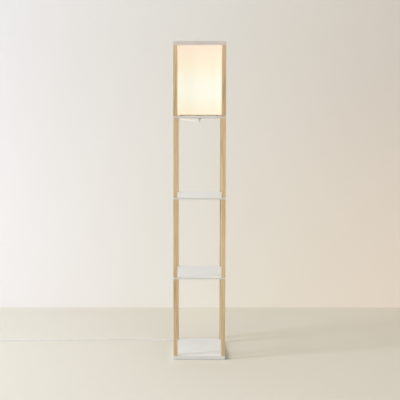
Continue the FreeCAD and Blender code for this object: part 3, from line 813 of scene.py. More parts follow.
class Workshop:
    """Puts finished pieces on the frame, and reports them."""

    def __init__(self, frame: dict) -> None:
        self.nodes: dict[str, Thing] = frame["nodes"]
        self.slot_of = {row["node"]: row["material_slot"] for row in frame["record"]["subparts"]}

    def dress(self, *nodes: str, edge: float = 0.0) -> None:
        """Give construction nodes that stay their finish.

        Args:
            nodes: the nodes' names.
            edge: width of a bevel along their sharp edges, if any.
        """
        for node in nodes:
            item, finish = self.nodes[node], FINISHES[self.slot_of[node]]
            for place in item.material_slots:
                place.material = finish.material()
            if edge:
                bevel = item.modifiers.new("soft_edges", "BEVEL")
                bevel.width = edge
                bevel.segments = 2
                bevel.limit_method = "ANGLE"
                bevel.angle_limit = math.radians(35)
                bevel.harden_normals = True
            log.info("node %s: %s", node, finish.name)

    def mount(self, piece: Thing, *nodes: str, body: Body = Body.ROOT,
              slot: str | None = None) -> Thing:
        """Finish a new piece, let it ride on a body and stand for its nodes.

        Args:
            piece: the new object.
            nodes: the construction nodes that it replaces.
            body: the body that carries it.
            slot: its material slot, where it isn't the first node's.

        Returns:
            The same object.
        """
        slot = slot or self.slot_of[nodes[0]]
        piece.data.materials.clear()
        piece.data.materials.append(FINISHES[slot].material())
        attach(piece, body.value)
        if nodes:
            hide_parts(*nodes)
        log.info("piece %s on %s: %s", piece.name, body.value, slot)
        return piece

    def turn(self, name: str, node: str, outline: Iterable[tuple[Reach, float]],
             segments: int, back: float = 0.0, closed: bool = False,
             body: Body = Body.ROOT) -> None:
        """Turn a piece on a node's foot, and mount it in the node's place.

        Args:
            name: the piece's name.
            node: the construction node that it replaces.
            outline: radius and height of each corner, from the node's foot.
            segments: how many steps go round.
            back: the axis's place along Y.
            closed: whether the outline is a closed section.
            body: the body that carries it.
        """
        foot = (0.0, back, stance(node)[0])
        self.mount(lathe(name, outline, foot, segments, closed), node, body=body)


# ------------------------------------------------------------ sub-assemblies


@dataclass
class Tower:
    """The wooden posts, the boards and what screws them together."""

    shop: Workshop
    tiers: tuple[str, ...] = ("lower", "middle", "upper", "shade")
    corners: tuple[str, ...] = ("front_left", "front_right", "back_left", "back_right")
    boards: tuple[str, ...] = ("base_panel", "lower_shelf", "middle_shelf", "light_shelf",
                               "top_panel")
    fixings: tuple[str, ...] = ("lower_studs", "middle_studs", "upper_studs", "top_dowels")
    pad_radius: float = 9.0 * MM
    pad_round: float = 0.4 * MM
    pad_reach: float = 98.0 * MM
    bolt_reach: float = 120.0 * MM
    bolt_head: float = 6.0 * MM
    bolt_head_height: float = 4.0 * MM
    bolt_head_round: float = 0.6 * MM
    bolt_length: float = 40.0 * MM
    bolt_radius: float = 3.0 * MM
    bolt_plain: float = 6.0 * MM
    bolt_tip: float = 0.5 * MM
    thread_depth: float = 0.6 * MM
    thread_pitch: float = 2.5 * MM
    socket_reach: float = 2.3 * MM
    socket_depth: float = 2.4 * MM

    def build(self) -> None:
        """Dress the posts and boards, and make the pads and bolts."""
        for tier in self.tiers:
            self.shop.dress(*(f"{tier}_post_{corner}" for corner in self.corners))
        self.shop.dress(*self.boards, *self.fixings)
        self.build_pads()
        self.build_bolts()

    def places(self, reach: float) -> list[Pair]:
        """The four corner places at a reach from the middle."""
        return [(x * reach, y * reach) for x in (-1, 1) for y in (-1, 1)]

    def build_pads(self) -> None:
        """Four felt pads with soft rims."""
        tall = stance("foot_pads")[1]
        outline = fillet_outline([(0.0, 0.0), (self.pad_radius, 0.0), (self.pad_radius, tall),
                                  (0.0, tall)], self.pad_round)
        pads = [lathe("pad", outline, (x, y, 0.0), 40) for x, y in self.places(self.pad_reach)]
        self.shop.mount(joined("felt_pads", pads), "foot_pads")

    def build_bolts(self) -> None:
        """Four bolts with hexagon sockets in their heads and threaded shanks."""
        bolts = []
        foot = stance("base_bolts")[0]
        thread = Thread(self.bolt_plain, self.bolt_length - self.bolt_tip, self.bolt_radius,
                        self.thread_depth, self.thread_pitch)
        for x, y in self.places(self.bolt_reach):
            bolts.append(self.head_at((x, y, foot)))
            bolts.append(lathe("shank", rows_of(thread.radius_at, self.bolt_length, 96),
                               (x, y, foot + self.bolt_head_height), 20))
        self.shop.mount(joined("socket_bolts", bolts), "base_bolts")

    def head_at(self, foot: Point) -> Thing:
        """A round bolt head with a hexagonal socket sunk in its underside.

        Args:
            foot: the middle of its underside.

        Returns:
            The new object.
        """
        def hexagon(angle: float) -> float:
            """The socket's reach by angle."""
            side = (angle + math.pi / 6) % (math.pi / 3) - math.pi / 6
            return self.socket_reach / math.cos(side)

        return lathe("head", [
            (0.0, self.socket_depth), (hexagon, self.socket_depth), (hexagon, 0.0),
            (self.bolt_head - self.bolt_head_round, 0.0), (self.bolt_head, self.bolt_head_round),
            (self.bolt_head, self.bolt_head_height), (0.0, self.bolt_head_height),
        ], foot, 24)


@dataclass
class Shade:
    """The fabric sleeve with its hems and back seam, its rings and its battens."""

    shop: Workshop
    half: float = 109.0 * MM
    corner: float = 3.0 * MM
    wall: float = 1.1 * MM
    hem: float = 9.0 * MM
    hem_rise: float = 0.45 * MM
    hem_step: float = 0.2 * MM
    seam_half: float = 6.0 * MM
    seam_rise: float = 0.7 * MM
    seam_step: float = 0.15 * MM
    slack: float = 0.35 * MM
    rows: int = 72
    flats: int = 36
    rounds: int = 5
    foot: float = field(init=False)
    tall: float = field(init=False)

    def __post_init__(self) -> None:
        """Take the sleeve's foot and height from its construction node."""
        self.foot, self.tall = stance("shade_sleeve")

    def build(self) -> None:
        """Make the sleeve, and dress what holds it."""
        sleeve = self.shop.mount(self.sleeve(), "shade_sleeve")
        self.shop.dress("shade_bottom_ring", "shade_top_ring", "shade_battens")

    def stand_off(self, x: float, y: float, rise: float) -> float:
        """How far the fabric stands out of the flat at one place.

        Args:
            x: the place from left to right.
            y: the place from front to back.
            rise: the height over the sleeve's foot.

        Returns:
            The distance, which is below zero where the fabric sags inwards.
        """
        out = self.hem_rise if min(rise, self.tall - rise) < self.hem else 0.0
        if y > 0 and abs(x) < self.seam_half:
            out = max(out, self.seam_rise)
        belly = math.sin(math.pi * rise / self.tall)
        height = self.foot + rise
        ripple = math.sin(37.0 * x + 11.0 * height) * math.sin(29.0 * y + 17.0 * height)
        return out - self.slack * belly * (0.55 + 0.45 * ripple)

    def rises(self) -> list[float]:
        """Heights of the rows over the foot, with close pairs where the hems end."""
        hems = {edge + side * self.hem_step for edge in (self.hem, self.tall - self.hem)
                for side in (-1, 1)}
        return sorted(hems | {self.tall * row / self.rows for row in range(self.rows + 1)})

    def section(self) -> list[Pair]:
        """The sleeve's outline: a square with round corners, from the back's middle.

        Returns:
            Points of x and y, anticlockwise, with close pairs where the seam ends.
        """
        reach = self.half - self.corner
        points: list[Pair] = []
        for side in range(4):
            turn = Matrix.Rotation(math.pi / 2 * side, 2)
            flat = [(reach - 2 * reach * step / self.flats, self.half)
                    for step in range(self.flats)]
            bend = arc((-reach, reach), self.corner, math.pi / 2, math.pi, self.rounds)[:-1]
            points += [tuple(turn @ Vector(point)) for point in flat + bend]
        ends = [(side * (self.seam_half + shift), self.half) for side in (1, -1)
                for shift in (self.seam_step, -self.seam_step)]
        back = [point for point in points[:self.flats]
                if abs(abs(point[0]) - self.seam_half) > 0.4 * MM]
        return sorted(back + ends, key=lambda point: -point[0]) + points[self.flats:]

    def outward(self, x: float, y: float) -> Vector:
        """The way out of the side or corner that a point lies on."""
        return Vector((0.0 if abs(x) < abs(y) - 1e-9 else math.copysign(1, x),
                       0.0 if abs(y) < abs(x) - 1e-9 else math.copysign(1, y))).normalized()

    def sleeve(self) -> Thing:
        """Outer skin with hems and seam, and a plain lining inside it."""
        section = self.section()
        share = (self.half - self.wall) / self.half
        outer, inner = [], []
        for rise in self.rises():
            level = self.foot + rise
            skin = [Vector((x, y)) + self.outward(x, y) * self.stand_off(x, y, rise)
                    for x, y in section]
            outer.append([(x, y, level) for x, y in skin])
            inner.append([(x * share, y * share, level) for x, y in section])
        return loft("linen_shade", outer + inner[::-1], closed=True)


@dataclass
class Holder:
    """The lamp holder on its threaded tube."""

    shop: Workshop
    tube_radius: float = 5.0 * MM
    tube_bore: float = 3.5 * MM
    tube_pitch: float = 1.0 * MM
    tube_overrun: float = 2.0 * MM
    thread_depth: float = 0.35 * MM
    cap_neck: float = 8.0 * MM
    cap_height: float = 22.0 * MM
    radius: float = 17.0 * MM
    wall: float = 1.2 * MM
    shell_height: float = 52.0 * MM
    bead_rise: float = 0.5 * MM
    bead_half: float = 1.4 * MM
    socket_bore: float = 13.45 * MM
    socket_wall: float = 0.5 * MM
    socket_pitch: float = 3.6 * MM

    def build(self) -> None:
        """Make the turned and threaded pieces, and dress the rest."""
        self.shop.dress("switch_block", "centre_contact", "washer")
        self.shop.dress("lock_nut", edge=0.5 * MM)
        self.build_tube()
        self.build_cap()
        self.build_shell()
        self.build_socket()

    def build_tube(self) -> None:
        """The threaded tube through the light shelf."""
        tall = stance("nipple")[1]
        thread = Thread(-self.tube_overrun, tall + self.tube_overrun, self.tube_radius,
                        self.thread_depth, self.tube_pitch)
        rows = rows_of(thread.radius_at, tall, 224, self.tube_bore)
        self.shop.turn("threaded_tube", "nipple", rows, 32, closed=True)

    def build_cap(self) -> None:
        """Bell-shaped cap with a rolled rim."""
        tall, inside = self.cap_height, self.radius - self.wall
        outline = fillet_outline([
            (self.tube_radius, 0.0), (self.cap_neck, 0.0), (self.cap_neck, 0.24 * tall),
            (12.0 * MM, 0.40 * tall), (self.radius, 0.66 * tall), (self.radius, tall),
            (inside, tall), (inside, 0.72 * tall), (self.tube_radius, 0.36 * tall),
        ], 2.4 * MM, 5, closed=True)
        self.shop.turn("bell_cap", "holder_cap", outline, 64, closed=True)

    def build_shell(self) -> None:
        """Straight shell with rolled beads and a rolled mouth."""
        tall, inside = self.shell_height, self.radius - self.wall
        plain = self.radius - self.bead_rise
        outside = [(plain, 0.0), (plain, 3 * MM)]
        for centre in (5 * MM, 8.5 * MM, tall - 6 * MM):
            outside += [(plain, centre - self.bead_half), (self.radius, centre),
                        (plain, centre + self.bead_half)]
        outside += [(plain, tall - 1.2 * MM), (self.radius, tall - 0.6 * MM),
                    (self.radius - 0.3 * MM, tall)]
        outline = fillet_outline(outside + [(inside, tall), (inside, 0.0)], 0.7 * MM, 3,
                                 closed=True)
        self.shop.turn("holder_sleeve", "holder_shell", outline, 64, closed=True)

    def build_socket(self) -> None:
        """Screw shell with its rolled thread."""
        tall = stance("screw_shell")[1]
        thread = Thread(1 * MM, tall - 1 * MM, self.socket_bore + self.socket_wall,
                        self.thread_depth, self.socket_pitch)
        rows = rows_of(thread.radius_at, tall, 70, self.socket_bore)
        self.shop.turn("thread_shell", "screw_shell", rows, 64, closed=True)


@dataclass
class PullSwitch:
    """Chain guide, grommet, bead chain and bell."""

    shop: Workshop
    place: float = -28.0 * MM
    bead: float = 1.6 * MM
    pitch: float = 4.3 * MM
    link: float = 0.5 * MM
    bell_radius: float = 3.5 * MM
    bell_height: float = 12.0 * MM
    grommet_lip: float = 1.2 * MM

    def build(self) -> None:
        """Make the moving chain and bell, and what guides them."""
        self.shop.dress("chain_guide", edge=0.4 * MM)
        self.build_grommet()
        self.build_chain()
        self.build_bell()

    def build_grommet(self) -> None:
        """Nylon grommet with a rounded flange."""
        tall, lip = stance("chain_bushing")[1], self.grommet_lip
        outline = fillet_outline([
            (2.2 * MM, 0.0), (3.8 * MM, 0.0), (3.8 * MM, tall - lip), (6.0 * MM, tall - lip),
            (6.0 * MM, tall - 0.4 * lip), (4.8 * MM, tall), (2.2 * MM, tall),
        ], 0.5 * MM, 3, closed=True)
        self.shop.turn("shelf_grommet", "chain_bushing", outline, 40, self.place,
                       closed=True)

    def build_chain(self) -> None:
        """Beads with the wire of their links between them."""
        tall = stance("bead_chain")[1]
        outline = [(0.0, 0.0), (self.link, 0.0)]
        for number in range(math.floor(tall / self.pitch)):
            outline += [(max(self.link, reach), height) for reach, height in arc(
                (0.0, (number + 0.5) * self.pitch), self.bead, -0.4 * math.pi, 0.4 * math.pi, 8)]
        outline += [(self.link, tall), (0.0, tall)]
        self.shop.turn("beads", "bead_chain", outline, 20, self.place, body=Body.CHAIN)

    def build_bell(self) -> None:
        """Bell-shaped pull with a hollow mouth."""
        shares = ((0.0, 0.28), (0.62, 0.22), (0.76, 0.0), (1.0, 0.04), (0.97, 0.16),
                  (0.86, 0.42), (0.60, 0.74), (0.42, 0.94), (0.30, 1.0), (0.0, 1.0))
        outline = fillet_outline([(across * self.bell_radius, up * self.bell_height)
                                  for across, up in shares], 0.8 * MM)
        self.shop.turn("pull_bell", "chain_bell", outline, 40, self.place, body=Body.CHAIN)


@dataclass
class GlobeBulb:
    """A screw-in globe bulb with an opal dome."""

    shop: Workshop
    globe: float = 30.0 * MM
    waist: float = 20.0 * MM
    neck: float = 14.0 * MM
    thread_radius: float = 13.1 * MM
    thread_pitch: float = 3.6 * MM
    thread_depth: float = 0.8 * MM
    flute_depth: float = 0.5 * MM
    flutes: int = 24

    def build(self) -> None:
        """Make dome, housing and screw cap, and dress the contact end."""
        self.build_dome()
        self.build_housing()
        self.build_screw_cap()
        self.shop.dress("bulb_contact", "bulb_insulator")

    def build_dome(self) -> None:
        """Opal dome: a globe that runs into a cone at its neck."""
        centre = stance("bulb_diffuser")[1] - self.globe
        outline = [(0.0, 0.0), (self.waist, 0.0),
                   *arc((0.0, centre), self.globe, math.radians(-25), math.pi / 2, 24)]
        self.shop.turn("opal_dome", "bulb_diffuser", outline, 72, body=Body.BULB)

    def build_housing(self) -> None:
        """Flared housing with shallow cooling flutes."""
        tall = stance("bulb_housing")[1]

        def radius_at(height: float, angle: float) -> float:
            """Housing radius with flutes in its middle stretch."""
            rise = height / tall
            flare = self.neck + (self.waist - self.neck) * rise ** 2.2
            flute = self.flute_depth * max(0.0, math.sin(math.pi * rise)) ** 0.5
            return flare - flute * (0.5 + 0.5 * math.cos(self.flutes * angle))

        self.shop.turn("fluted_housing", "bulb_housing", rows_of(radius_at, tall, 24), 192,
                       body=Body.BULB)

    def build_screw_cap(self) -> None:
        """Screw cap with its rolled thread."""
        tall = stance("bulb_screw_cap")[1]
        thread = Thread(1 * MM, tall - 4 * MM, self.thread_radius, self.thread_depth,
                        self.thread_pitch)
        self.shop.turn("screw_thread", "bulb_screw_cap", rows_of(thread.radius_at, tall, 84),
                       64, body=Body.BULB)


@dataclass
class MainsLead:
    """The white mains lead: boot, held stretch, clips, free cord, coil and plug."""

    shop: Workshop
    radius: float = 3.0 * MM
    route: tuple[Point, ...] = (
        (-0.124, 0.1336, 0.072), (-0.124, 0.1336, 0.042), (-0.129, 0.137, 0.016),
        (-0.152, 0.143, 0.003), (-0.190, 0.151, 0.003), (-0.244, 0.1585, 0.003),
        (-0.314, 0.1625, 0.003), (-0.394, 0.1635, 0.003), (-0.478, 0.162, 0.003),
        (-0.560, 0.1588, 0.003), (-0.643, 0.1548, 0.003), (-0.727, 0.1518, 0.003),
        (-0.811, 0.1499, 0.003), (-0.895, 0.1488, 0.003), (-0.977, 0.1485, 0.003),
        (-1.058, 0.149, 0.003), (-1.139, 0.149, 0.003),
    )
    riser: tuple[Point, ...] = (
        (-0.01899, 0.01424, 1.20344), (-0.0427, 0.03202, 1.2045), (-0.068, 0.056, 1.209),
        (-0.094, 0.088, 1.212), (-0.1035, 0.1345, 1.2095), (-0.110, 0.137, 1.163),
        (-0.124, 0.1336, 1.116), (-0.124, 0.1336, 0.072),
    )
    lead: tuple[Point, ...] = (
        (-1.151, 0.149, 0.0096), (-1.167, 0.149, 0.0096), (-1.184, 0.154, 0.0096),
    )
    length: float = 1.875
    coil_centre: Pair = (-1.145, 0.112)
    coil_radius: float = 37.0 * MM
    coil_pitch: float = 6.5 * MM
    coil_climb: float = 6.6 * MM
    coil_turns: int = 4
    coil_steps: int = 16
    tie_half: float = 2.0 * MM
    tie_thickness: float = 0.5 * MM
    boot_centre: Point = (0.0, 0.0, 1.207)
    boot_aim: Point = (-0.8, 0.6, -0.15)
    boot_length: float = 24.0 * MM
    boot_bend: float = 3.6 * MM
    boot_collar: float = 5.9 * MM
    boot_neck: float = 5.2 * MM
    boot_mouth: float = 3.8 * MM
    boot_groove: float = 0.55 * MM
    boot_ribs: int = 6
    post_back: float = 130.0 * MM
    clip_top: float = 1082.0 * MM
    clip_low: float = 76.0 * MM
    clip_count: int = 5
    clip_half: float = 4.0 * MM
    clip_outer: float = 5.2 * MM
    clip_spare: float = 0.2 * MM
    nail_reach: float = 9.0 * MM
    plug_neck: float = 6.0 * MM
    plug_width: float = 24.0 * MM
    plug_length: float = 28.0 * MM
    plug_relief: float = 14.0 * MM
    plug_waist: float = 1.4 * MM
    plug_ribs: int = 4
    blade_length: float = 17.0 * MM
    blade_height: float = 6.4 * MM
    blade_thickness: float = 1.5 * MM
    blade_spacing: float = 12.7 * MM
    blade_hole: float = 1.6 * MM

    def build(self) -> None:
        """Make the whole lead from the boot to the plug."""
        self.build_boot()
        self.shop.mount(self.line("held_cord", self.riser), "cord_riser")
        self.build_clips()
        plug, blades = self.build_plug()
        tie = self.build_tie()
        cord = self.build_cord()

    def line(self, name: str, points: Sequence[Point]) -> Thing:
        """A round smooth line of cord.

        Args:
            name: the piece's name.
            points: control points of its spline.

        Returns:
            The new curve object.
        """
        curve = bpy.data.curves.new(name, "CURVE")
        curve.dimensions = "3D"
        curve.bevel_depth = self.radius
        curve.bevel_resolution = 5
        curve.resolution_u = 8
        curve.use_fill_caps = True
        spline = curve.splines.new("NURBS")
        spline.points.add(len(points) - 1)
        for target, point in zip(spline.points, points):
            target.co = (*point, 1.0)
        spline.order_u = 3
        spline.use_endpoint_u = True
        return linked(name, curve)

    def coil_points(self) -> list[Point]:
        """Control points of the coil: in and out again, up a layer midway.

        Returns:
            Points a little outside the turns, because the spline cuts corners.
        """
        points = []
        spare = 2.0 / (1.0 + math.cos(math.pi / self.coil_steps))
        for step in range(1, self.coil_turns * self.coil_steps):
            turn = step / self.coil_steps
            reach = self.coil_radius - self.coil_pitch * min(turn, self.coil_turns - turn)
            climb = ease((turn - self.coil_turns / 2 + 0.25) / 0.5)
            angle = math.pi / 2 + 2 * math.pi * turn
            points.append((self.coil_centre[0] + spare * reach * math.cos(angle),
                           self.coil_centre[1] + spare * reach * math.sin(angle),
                           self.radius + self.coil_climb * climb))
        return points

    def build_cord(self) -> Thing:
        """One spline from the last clip along the floor, round the coil and to the plug."""
        start = (self.coil_centre[0], self.coil_centre[1] + self.coil_radius, self.radius)
        end = (start[0], start[1], self.radius + self.coil_climb)
        cord = self.line("mains_cord", [*self.route, start, *self.coil_points(), end, *self.lead])
        return self.shop.mount(cord, "power_cord", "cord_coil", "plug_lead")

    def build_boot(self) -> None:
        """Tapered elbow boot with ribs on its nose."""
        centre, aim = Vector(self.boot_centre), Vector(self.boot_aim).normalized()
        up, bend = Vector((0.0, 0.0, 1.0)), self.boot_bend
        top = Vector((centre.x, centre.y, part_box("strain_relief")[1][2]))
        centres = [top, top - up * 1.2 * MM]
        radii = [self.boot_collar - 0.4 * MM, self.boot_collar]
        for step in range(9):
            share = step / 8
            angle = math.pi / 2 * share
            centres.append(centre + up * bend * (1 - math.sin(angle))
                           + aim * bend * (1 - math.cos(angle)))
            radii.append(self.boot_collar + (self.boot_neck - self.boot_collar) * share)
        steps = 6 * self.boot_ribs
        for step in range(1, steps + 1):
            share = step / steps
            wave = (0.5 - 0.5 * math.cos(2 * math.pi * self.boot_ribs * share)) ** 2
            centres.append(centre + aim * (bend + (self.boot_length - bend) * share))
            radii.append(self.boot_neck + (self.boot_mouth - self.boot_neck) * share
                         - self.boot_groove * wave * (1 - 0.4 * share))
        self.shop.mount(sweep("cord_boot", centres, radii, 28), "strain_relief")

    def build_clips(self) -> None:
        """Round cable clips, each with a nail through its lug."""
        pieces = []
        for number in range(self.clip_count):
            share = number / (self.clip_count - 1)
            middle = self.clip_top + (self.clip_low - self.clip_top) * share
            pieces += [self.clip_body(middle), self.clip_nail(middle)]
        self.shop.mount(joined("round_clips", pieces), "cord_clips")

    def clip_body(self, middle: float) -> Thing:
        """An arch over the cord with a flat lug beside it.

        Args:
            middle: its height over the floor.

        Returns:
            The new object.
        """
        x, y, _ = self.route[0]
        wall, outer, inner = self.post_back, self.clip_outer, self.radius + self.clip_spare
        tip = x + 12.5 * MM
        outline = [
            (x - outer, wall), (x - outer, y),
            *arc((x, y), outer, math.pi, 0.0, 12, squash=0.9),
            (x + outer, wall + 3.2 * MM), (tip - 0.5 * MM, wall + 2.9 * MM),
            (tip, wall + 2.2 * MM), (tip, wall), (x + inner, wall), (x + inner, y),
            *arc((x, y), inner, 0.0, math.pi, 12), (x - inner, wall),
        ]
        return loft("clip", [[(*point, middle + side * self.clip_half) for point in outline]
                             for side in (-1, 1)], smooth=False)

    def clip_nail(self, middle: float) -> Thing:
        """The domed head of a clip's nail.

        Args:
            middle: its height over the floor.

        Returns:
            The new object.
        """
        head = lathe("nail", [(0.0, 2.4 * MM), (2.0 * MM, 2.4 * MM), (2.0 * MM, 3.2 * MM),
                              (1.4 * MM, 3.7 * MM), (0.0, 3.9 * MM)], segments=16)
        place = Matrix.Translation((self.route[0][0] + self.nail_reach, self.post_back, middle))
        head.data.transform(place @ Matrix.Rotation(-math.pi / 2, 4, "X"))
        return head

    def plug_frame(self) -> Matrix:
        """Frame of the plug: X runs from the lead towards the blades."""
        end, before = Vector(self.lead[-1]), Vector(self.lead[-2])
        ahead, up = (end - before).normalized(), Vector((0.0, 0.0, 1.0))
        frame = Matrix((ahead, up.cross(ahead), up)).transposed().to_4x4()
        frame.translation = end
        return frame

    def build_plug(self) -> tuple[Thing, Thing]:
        """Moulded plug with ribbed relief and waisted grip, and its two blades.

        Returns:
            The moulding and the blades.
        """
        total, steps = self.plug_relief + self.plug_length, 60
        rings = [self.plug_ring(total * step / steps) for step in range(steps + 1)]
        body = loft("plug_moulding", rings)
        blades = joined("plug_pins", [self.blade(side) for side in (-1, 1)])
        for piece in (body, blades):
            piece.data.transform(self.plug_frame())
        return self.shop.mount(body, "plug_body"), self.shop.mount(blades, "plug_blades")

    def plug_ring(self, along: float) -> list[Point]:
        """A ring of the plug, round at the relief and squarer towards the blades.

        Args:
            along: its place along the plug.

        Returns:
            Points in the plug's own frame.
        """
        if along < self.plug_relief:
            part, swell = along / self.plug_relief, 0.0
            wide = self.radius + 0.8 * MM + 2.2 * MM * part
            wide -= 0.5 * MM * (0.5 - 0.5 * math.cos(2 * math.pi * self.plug_ribs * part))
            tall = wide
        else:
            part = (along - self.plug_relief) / self.plug_length
            swell = ease(part / 0.28)
            waist = self.plug_waist * math.exp(-((part - 0.52) / 0.16) ** 2)
            end_round = 1.1 * MM * max(0.0, (part - 0.93) / 0.07) ** 2
            half_height = self.lead[-1][2] - 0.1 * MM
            wide = self.plug_neck + (self.plug_width / 2 - self.plug_neck) * swell
            tall = self.plug_neck + (half_height - self.plug_neck) * swell
            wide, tall = wide - waist - end_round, tall - 0.6 * waist - end_round
        square = 2 / (2.0 + 3.0 * swell)
        corners = [(math.cos(turn), math.sin(turn)) for turn in angles(40)]
        return [(along, math.copysign(abs(cosine) ** square, cosine) * wide,
                 math.copysign(abs(sine) ** square, sine) * tall) for cosine, sine in corners]

    def blade(self, side: int) -> Thing:
        """A flat blade with a tapered tip and a round hole.

        Args:
            side: -1 or 1, for the blade's side of the plug.

        Returns:
            The new object, in the plug's own frame.
        """
        face = self.plug_relief + self.plug_length
        start, end, half = face - 0.6 * MM, face + self.blade_length, self.blade_height / 2
        outline = [(start, -half), (end - 2.4 * MM, -half), (end, -half + 1.6 * MM),
                   (end, half - 1.6 * MM), (end - 2.4 * MM, half), (start, half)]
        hole = arc((end - 5.5 * MM, 0.0), self.blade_hole, 0.0, 2 * math.pi, 16)[:-1]
        level = side * self.blade_spacing / 2 - self.blade_thickness / 2
        work = bmesh.new()
        edges = []
        for corners in (outline, hole):
            rim = [work.verts.new((x, level, z)) for x, z in corners]
            edges += [work.edges.new(ends) for ends in zip(rim, rim[1:] + rim[:1])]
        bmesh.ops.triangle_fill(work, edges=edges, use_beauty=True)
        raised = bmesh.ops.extrude_face_region(work, geom=list(work.faces))
        lifted = [item for item in raised["geom"] if isinstance(item, bmesh.types.BMVert)]
        bmesh.ops.translate(work, verts=lifted, vec=(0.0, self.blade_thickness, 0.0))
        bmesh.ops.recalc_face_normals(work, faces=work.faces)
        return finished("blade", work)

    def build_tie(self) -> Thing:
        """A flat tie round the coil's turns, on the side away from the lamp's wall.

        Returns:
            The mounted tie.
        """
        x, y = self.coil_centre
        near = self.coil_radius - self.coil_pitch * self.coil_turns / 2 - self.radius - 0.7 * MM
        far = self.coil_radius + self.radius + 0.7 * MM
        low, high = 0.05 * MM, self.radius * 2 + self.coil_climb + 0.9 * MM
        outline = fillet_outline([(near, low), (far, low), (far, high), (near, high)],
                                 3.0 * MM, 5, closed=True)
        middle, half = Vector(((near + far) / 2, (low + high) / 2)), self.tie_half
        rings = []
        for reach, height in outline:
            inward = (middle - Vector((reach, height))).normalized() * self.tie_thickness
            rings.append([(x - half, y - reach, height), (x + half, y - reach, height),
                          (x + half, y - reach - inward.x, height + inward.y),
                          (x - half, y - reach - inward.x, height + inward.y)])
        tie = loft("coil_tie", rings, closed=True, smooth=False)
        return self.shop.mount(tie, slot="moulded_pvc")


# ------------------------------------------------------------------- studio


@dataclass(frozen=True)
class Softbox:
    """A soft rectangular light that looks at a point."""

    name: str
    place: Point
    aim: Point
    size: Pair
    power: float
    colour: Colour

    def build(self) -> None:
        """Hang the light."""
        data = bpy.data.lights.new(self.name, "AREA")
        data.shape = "RECTANGLE"
        data.size, data.size_y = self.size
        data.energy = self.power
        data.color = self.colour
        light = linked(self.name, data)
        light.location = self.place
        ahead = Vector(self.aim) - Vector(self.place)
        light.rotation_euler = ahead.to_track_quat("-Z", "Y").to_euler()


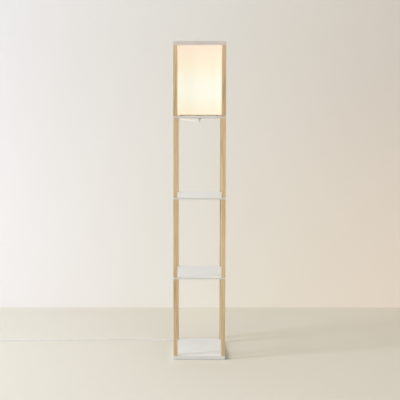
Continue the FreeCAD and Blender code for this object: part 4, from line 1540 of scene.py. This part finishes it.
@dataclass
class Studio:
    """Camera, soft light, pale floor and pale wall."""

    eye: Point = (-0.0088, -3.2744, 1.2192)
    yaw: float = -0.197
    pitch: float = 4.158
    roll: float = -0.097
    focal_pixels: float = 638.25
    picture_pixels: float = 400.0
    centre_row: float = 164.26
    sensor: float = 36.0
    lights: tuple[Softbox, ...] = (
        Softbox("low_window", (-3.1, -0.8, 1.0), (0.0, 0.0, 0.8), (0.42, 1.8), 27.0,
                (0.73, 0.81, 1.0)),
        Softbox("high_window", (-3.1, -0.8, 2.7), (0.0, 0.0, 0.8), (0.42, 1.6), 36.8,
                (0.73, 0.85, 1.0)),
        Softbox("ceiling", (0.0, -0.6, 3.6), (0.0, 0.0, 0.0), (2.6, 2.6), 30.0,
                (0.93, 0.98, 1.0)),
    )
    surround: Colour = (0.541, 0.500, 0.463)
    floor: Colour = (0.77, 0.733, 0.634)
    floor_reach: float = 14.0
    floor_fade: Pair = (3.0, 7.0)
    base_half: float = 0.130
    contact_shadow: float = 0.50
    contact_width: Pair = (0.046, 0.018)
    front_light: float = 0.07
    front_reach: float = 0.09
    wall: Colour = (0.68, 0.66, 0.625)
    wall_light: tuple[Colour, Colour, Colour] = (
        (0.178, 0.166, 0.176), (0.180, 0.175, 0.142), (0.193, 0.152, 0.110))
    wall_light_reach: float = 1.5
    wall_behind: float = 0.761
    wall_reach: float = 5.0
    wall_height: float = 4.0

    def build(self) -> None:
        """Set up the whole studio."""
        bpy.context.scene.view_settings.view_transform = "Standard"
        self.build_camera()
        self.build_world()
        for light in self.lights:
            light.build()
        self.build_floor()
        self.build_wall()

    def build_camera(self) -> None:
        """The photograph's view."""
        data = bpy.data.cameras.new("camera")
        data.sensor_width = self.sensor
        data.lens = self.focal_pixels * self.sensor / self.picture_pixels
        data.shift_y = self.centre_row / self.picture_pixels - 0.5
        camera = linked("camera", data)
        camera.location = self.eye
        camera.rotation_euler = (math.radians(90 - self.pitch), math.radians(self.roll),
                                 math.radians(self.yaw))
        bpy.context.scene.camera = camera

    def build_world(self) -> None:
        """An even, slightly warm surround."""
        world = bpy.data.worlds.new("studio")
        world.use_nodes = True
        background = world.node_tree.nodes["Background"]
        background.inputs["Color"].default_value = (*self.surround, 1.0)
        background.inputs["Strength"].default_value = 1.0
        bpy.context.scene.world = world

    def backdrop(self, name: str, corners: Sequence[Point]) -> NodeSheet:
        """Make one flat face of the studio.

        Args:
            name: its name and its material's name.
            corners: its corners.

        Returns:
            The nodes of its material.
        """
        face = mesh_piece(name, corners, [range(len(corners))], smooth=False)
        material = bpy.data.materials.new(name)
        face.data.materials.append(material)
        return NodeSheet(material)

    def build_floor(self) -> None:
        """A wide floor that fades into the surround far from the lamp."""
        sheet = self.backdrop("floor", ring((0.0, 0.0, 0.0), 0.0, self.floor_reach, 96))
        place = sheet.position()
        x, y, _ = sheet.split(place)
        # painted shade: the floor is darker towards the wall and lighter in front
        tone = sheet.product(sheet.span(y, -1.2, self.wall_behind, 1.04, 0.96),
                             self.contact(sheet, x, y))
        sheet.set(Base_Color=sheet.tint(self.floor, tone), Roughness=0.8)
        far = sheet.span(sheet.vector("LENGTH", place)["Value"], *self.floor_fade)
        sheet.blend(far, sheet.add("Emission", {"Color": self.surround}))

    def contact(self, sheet: NodeSheet, x: Socket, y: Socket) -> Socket:
        """The floor's tone at the base: a painted shadow wedge at its right, painted light before
        it.

        Args:
            sheet: the floor's nodes.
            x: the place from left to right.
            y: the place from front to back.

        Returns:
            What the floor's colour is multiplied by.
        """
        half = self.base_half
        wide = sheet.span(y, -half, half, *self.contact_width)
        away = sheet.maths("DIVIDE", sheet.total(x, -half), wide)
        # painted shadow on the floor to the right of the base
        dark = sheet.product(
            sheet.span(away, 0.0, 1.0, self.contact_shadow, 0.0),
            sheet.span(x, half - 0.010, half - 0.002),
            sheet.span(sheet.size(y), half - 0.004, half + 0.002, 1.0, 0.0))
        # painted light on the floor in front of the base
        light = sheet.product(
            sheet.span(sheet.size(x), half - 0.01, half + 0.05, 1.0, 0.0),
            sheet.span(y, -half - self.front_reach, -half, 0.0, self.front_light))
        return sheet.product(sheet.maths("SUBTRACT", 1.0, dark), sheet.total(1.0, light))

    def build_wall(self) -> None:
        """A wall behind the lamp, with painted light on it, which shows from the front only."""
        side, back, tall = self.wall_reach, self.wall_behind, self.wall_height
        sheet = self.backdrop("wall", [(-side, back, 0.0), (side, back, 0.0),
                                       (side, back, tall), (-side, back, tall)])
        across, _, height = sheet.split(sheet.position())
        # painted light: the wall glows, warmer towards the right and brighter towards the floor
        light = sheet.ramp(sheet.span(across, -self.wall_light_reach, self.wall_light_reach),
                           *zip((0.0, 0.5, 1.0), self.wall_light))
        sheet.set(Base_Color=self.wall, Roughness=0.9, Emission_Color=light,
                  Emission_Strength=sheet.span(height, -0.2, 2.2, 1.48, 0.5))
        behind = sheet.add("NewGeometry", {}).outputs["Backfacing"]
        sheet.blend(behind, sheet.add("BsdfTransparent", {}))


def main() -> None:
    """Build the studio and every sub-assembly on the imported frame."""
    logging.basicConfig(level=logging.INFO, format="%(message)s", stream=sys.stdout)
    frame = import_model()
    Studio().build()
    shop = Workshop(frame)
    for assembly in (MainsLead(shop), Tower(shop), Shade(shop), Holder(shop), PullSwitch(shop),
                     GlobeBulb(shop)):
        log.info("%s", type(assembly).__name__)
        assembly.build()


if __name__ == "__main__":
    main()
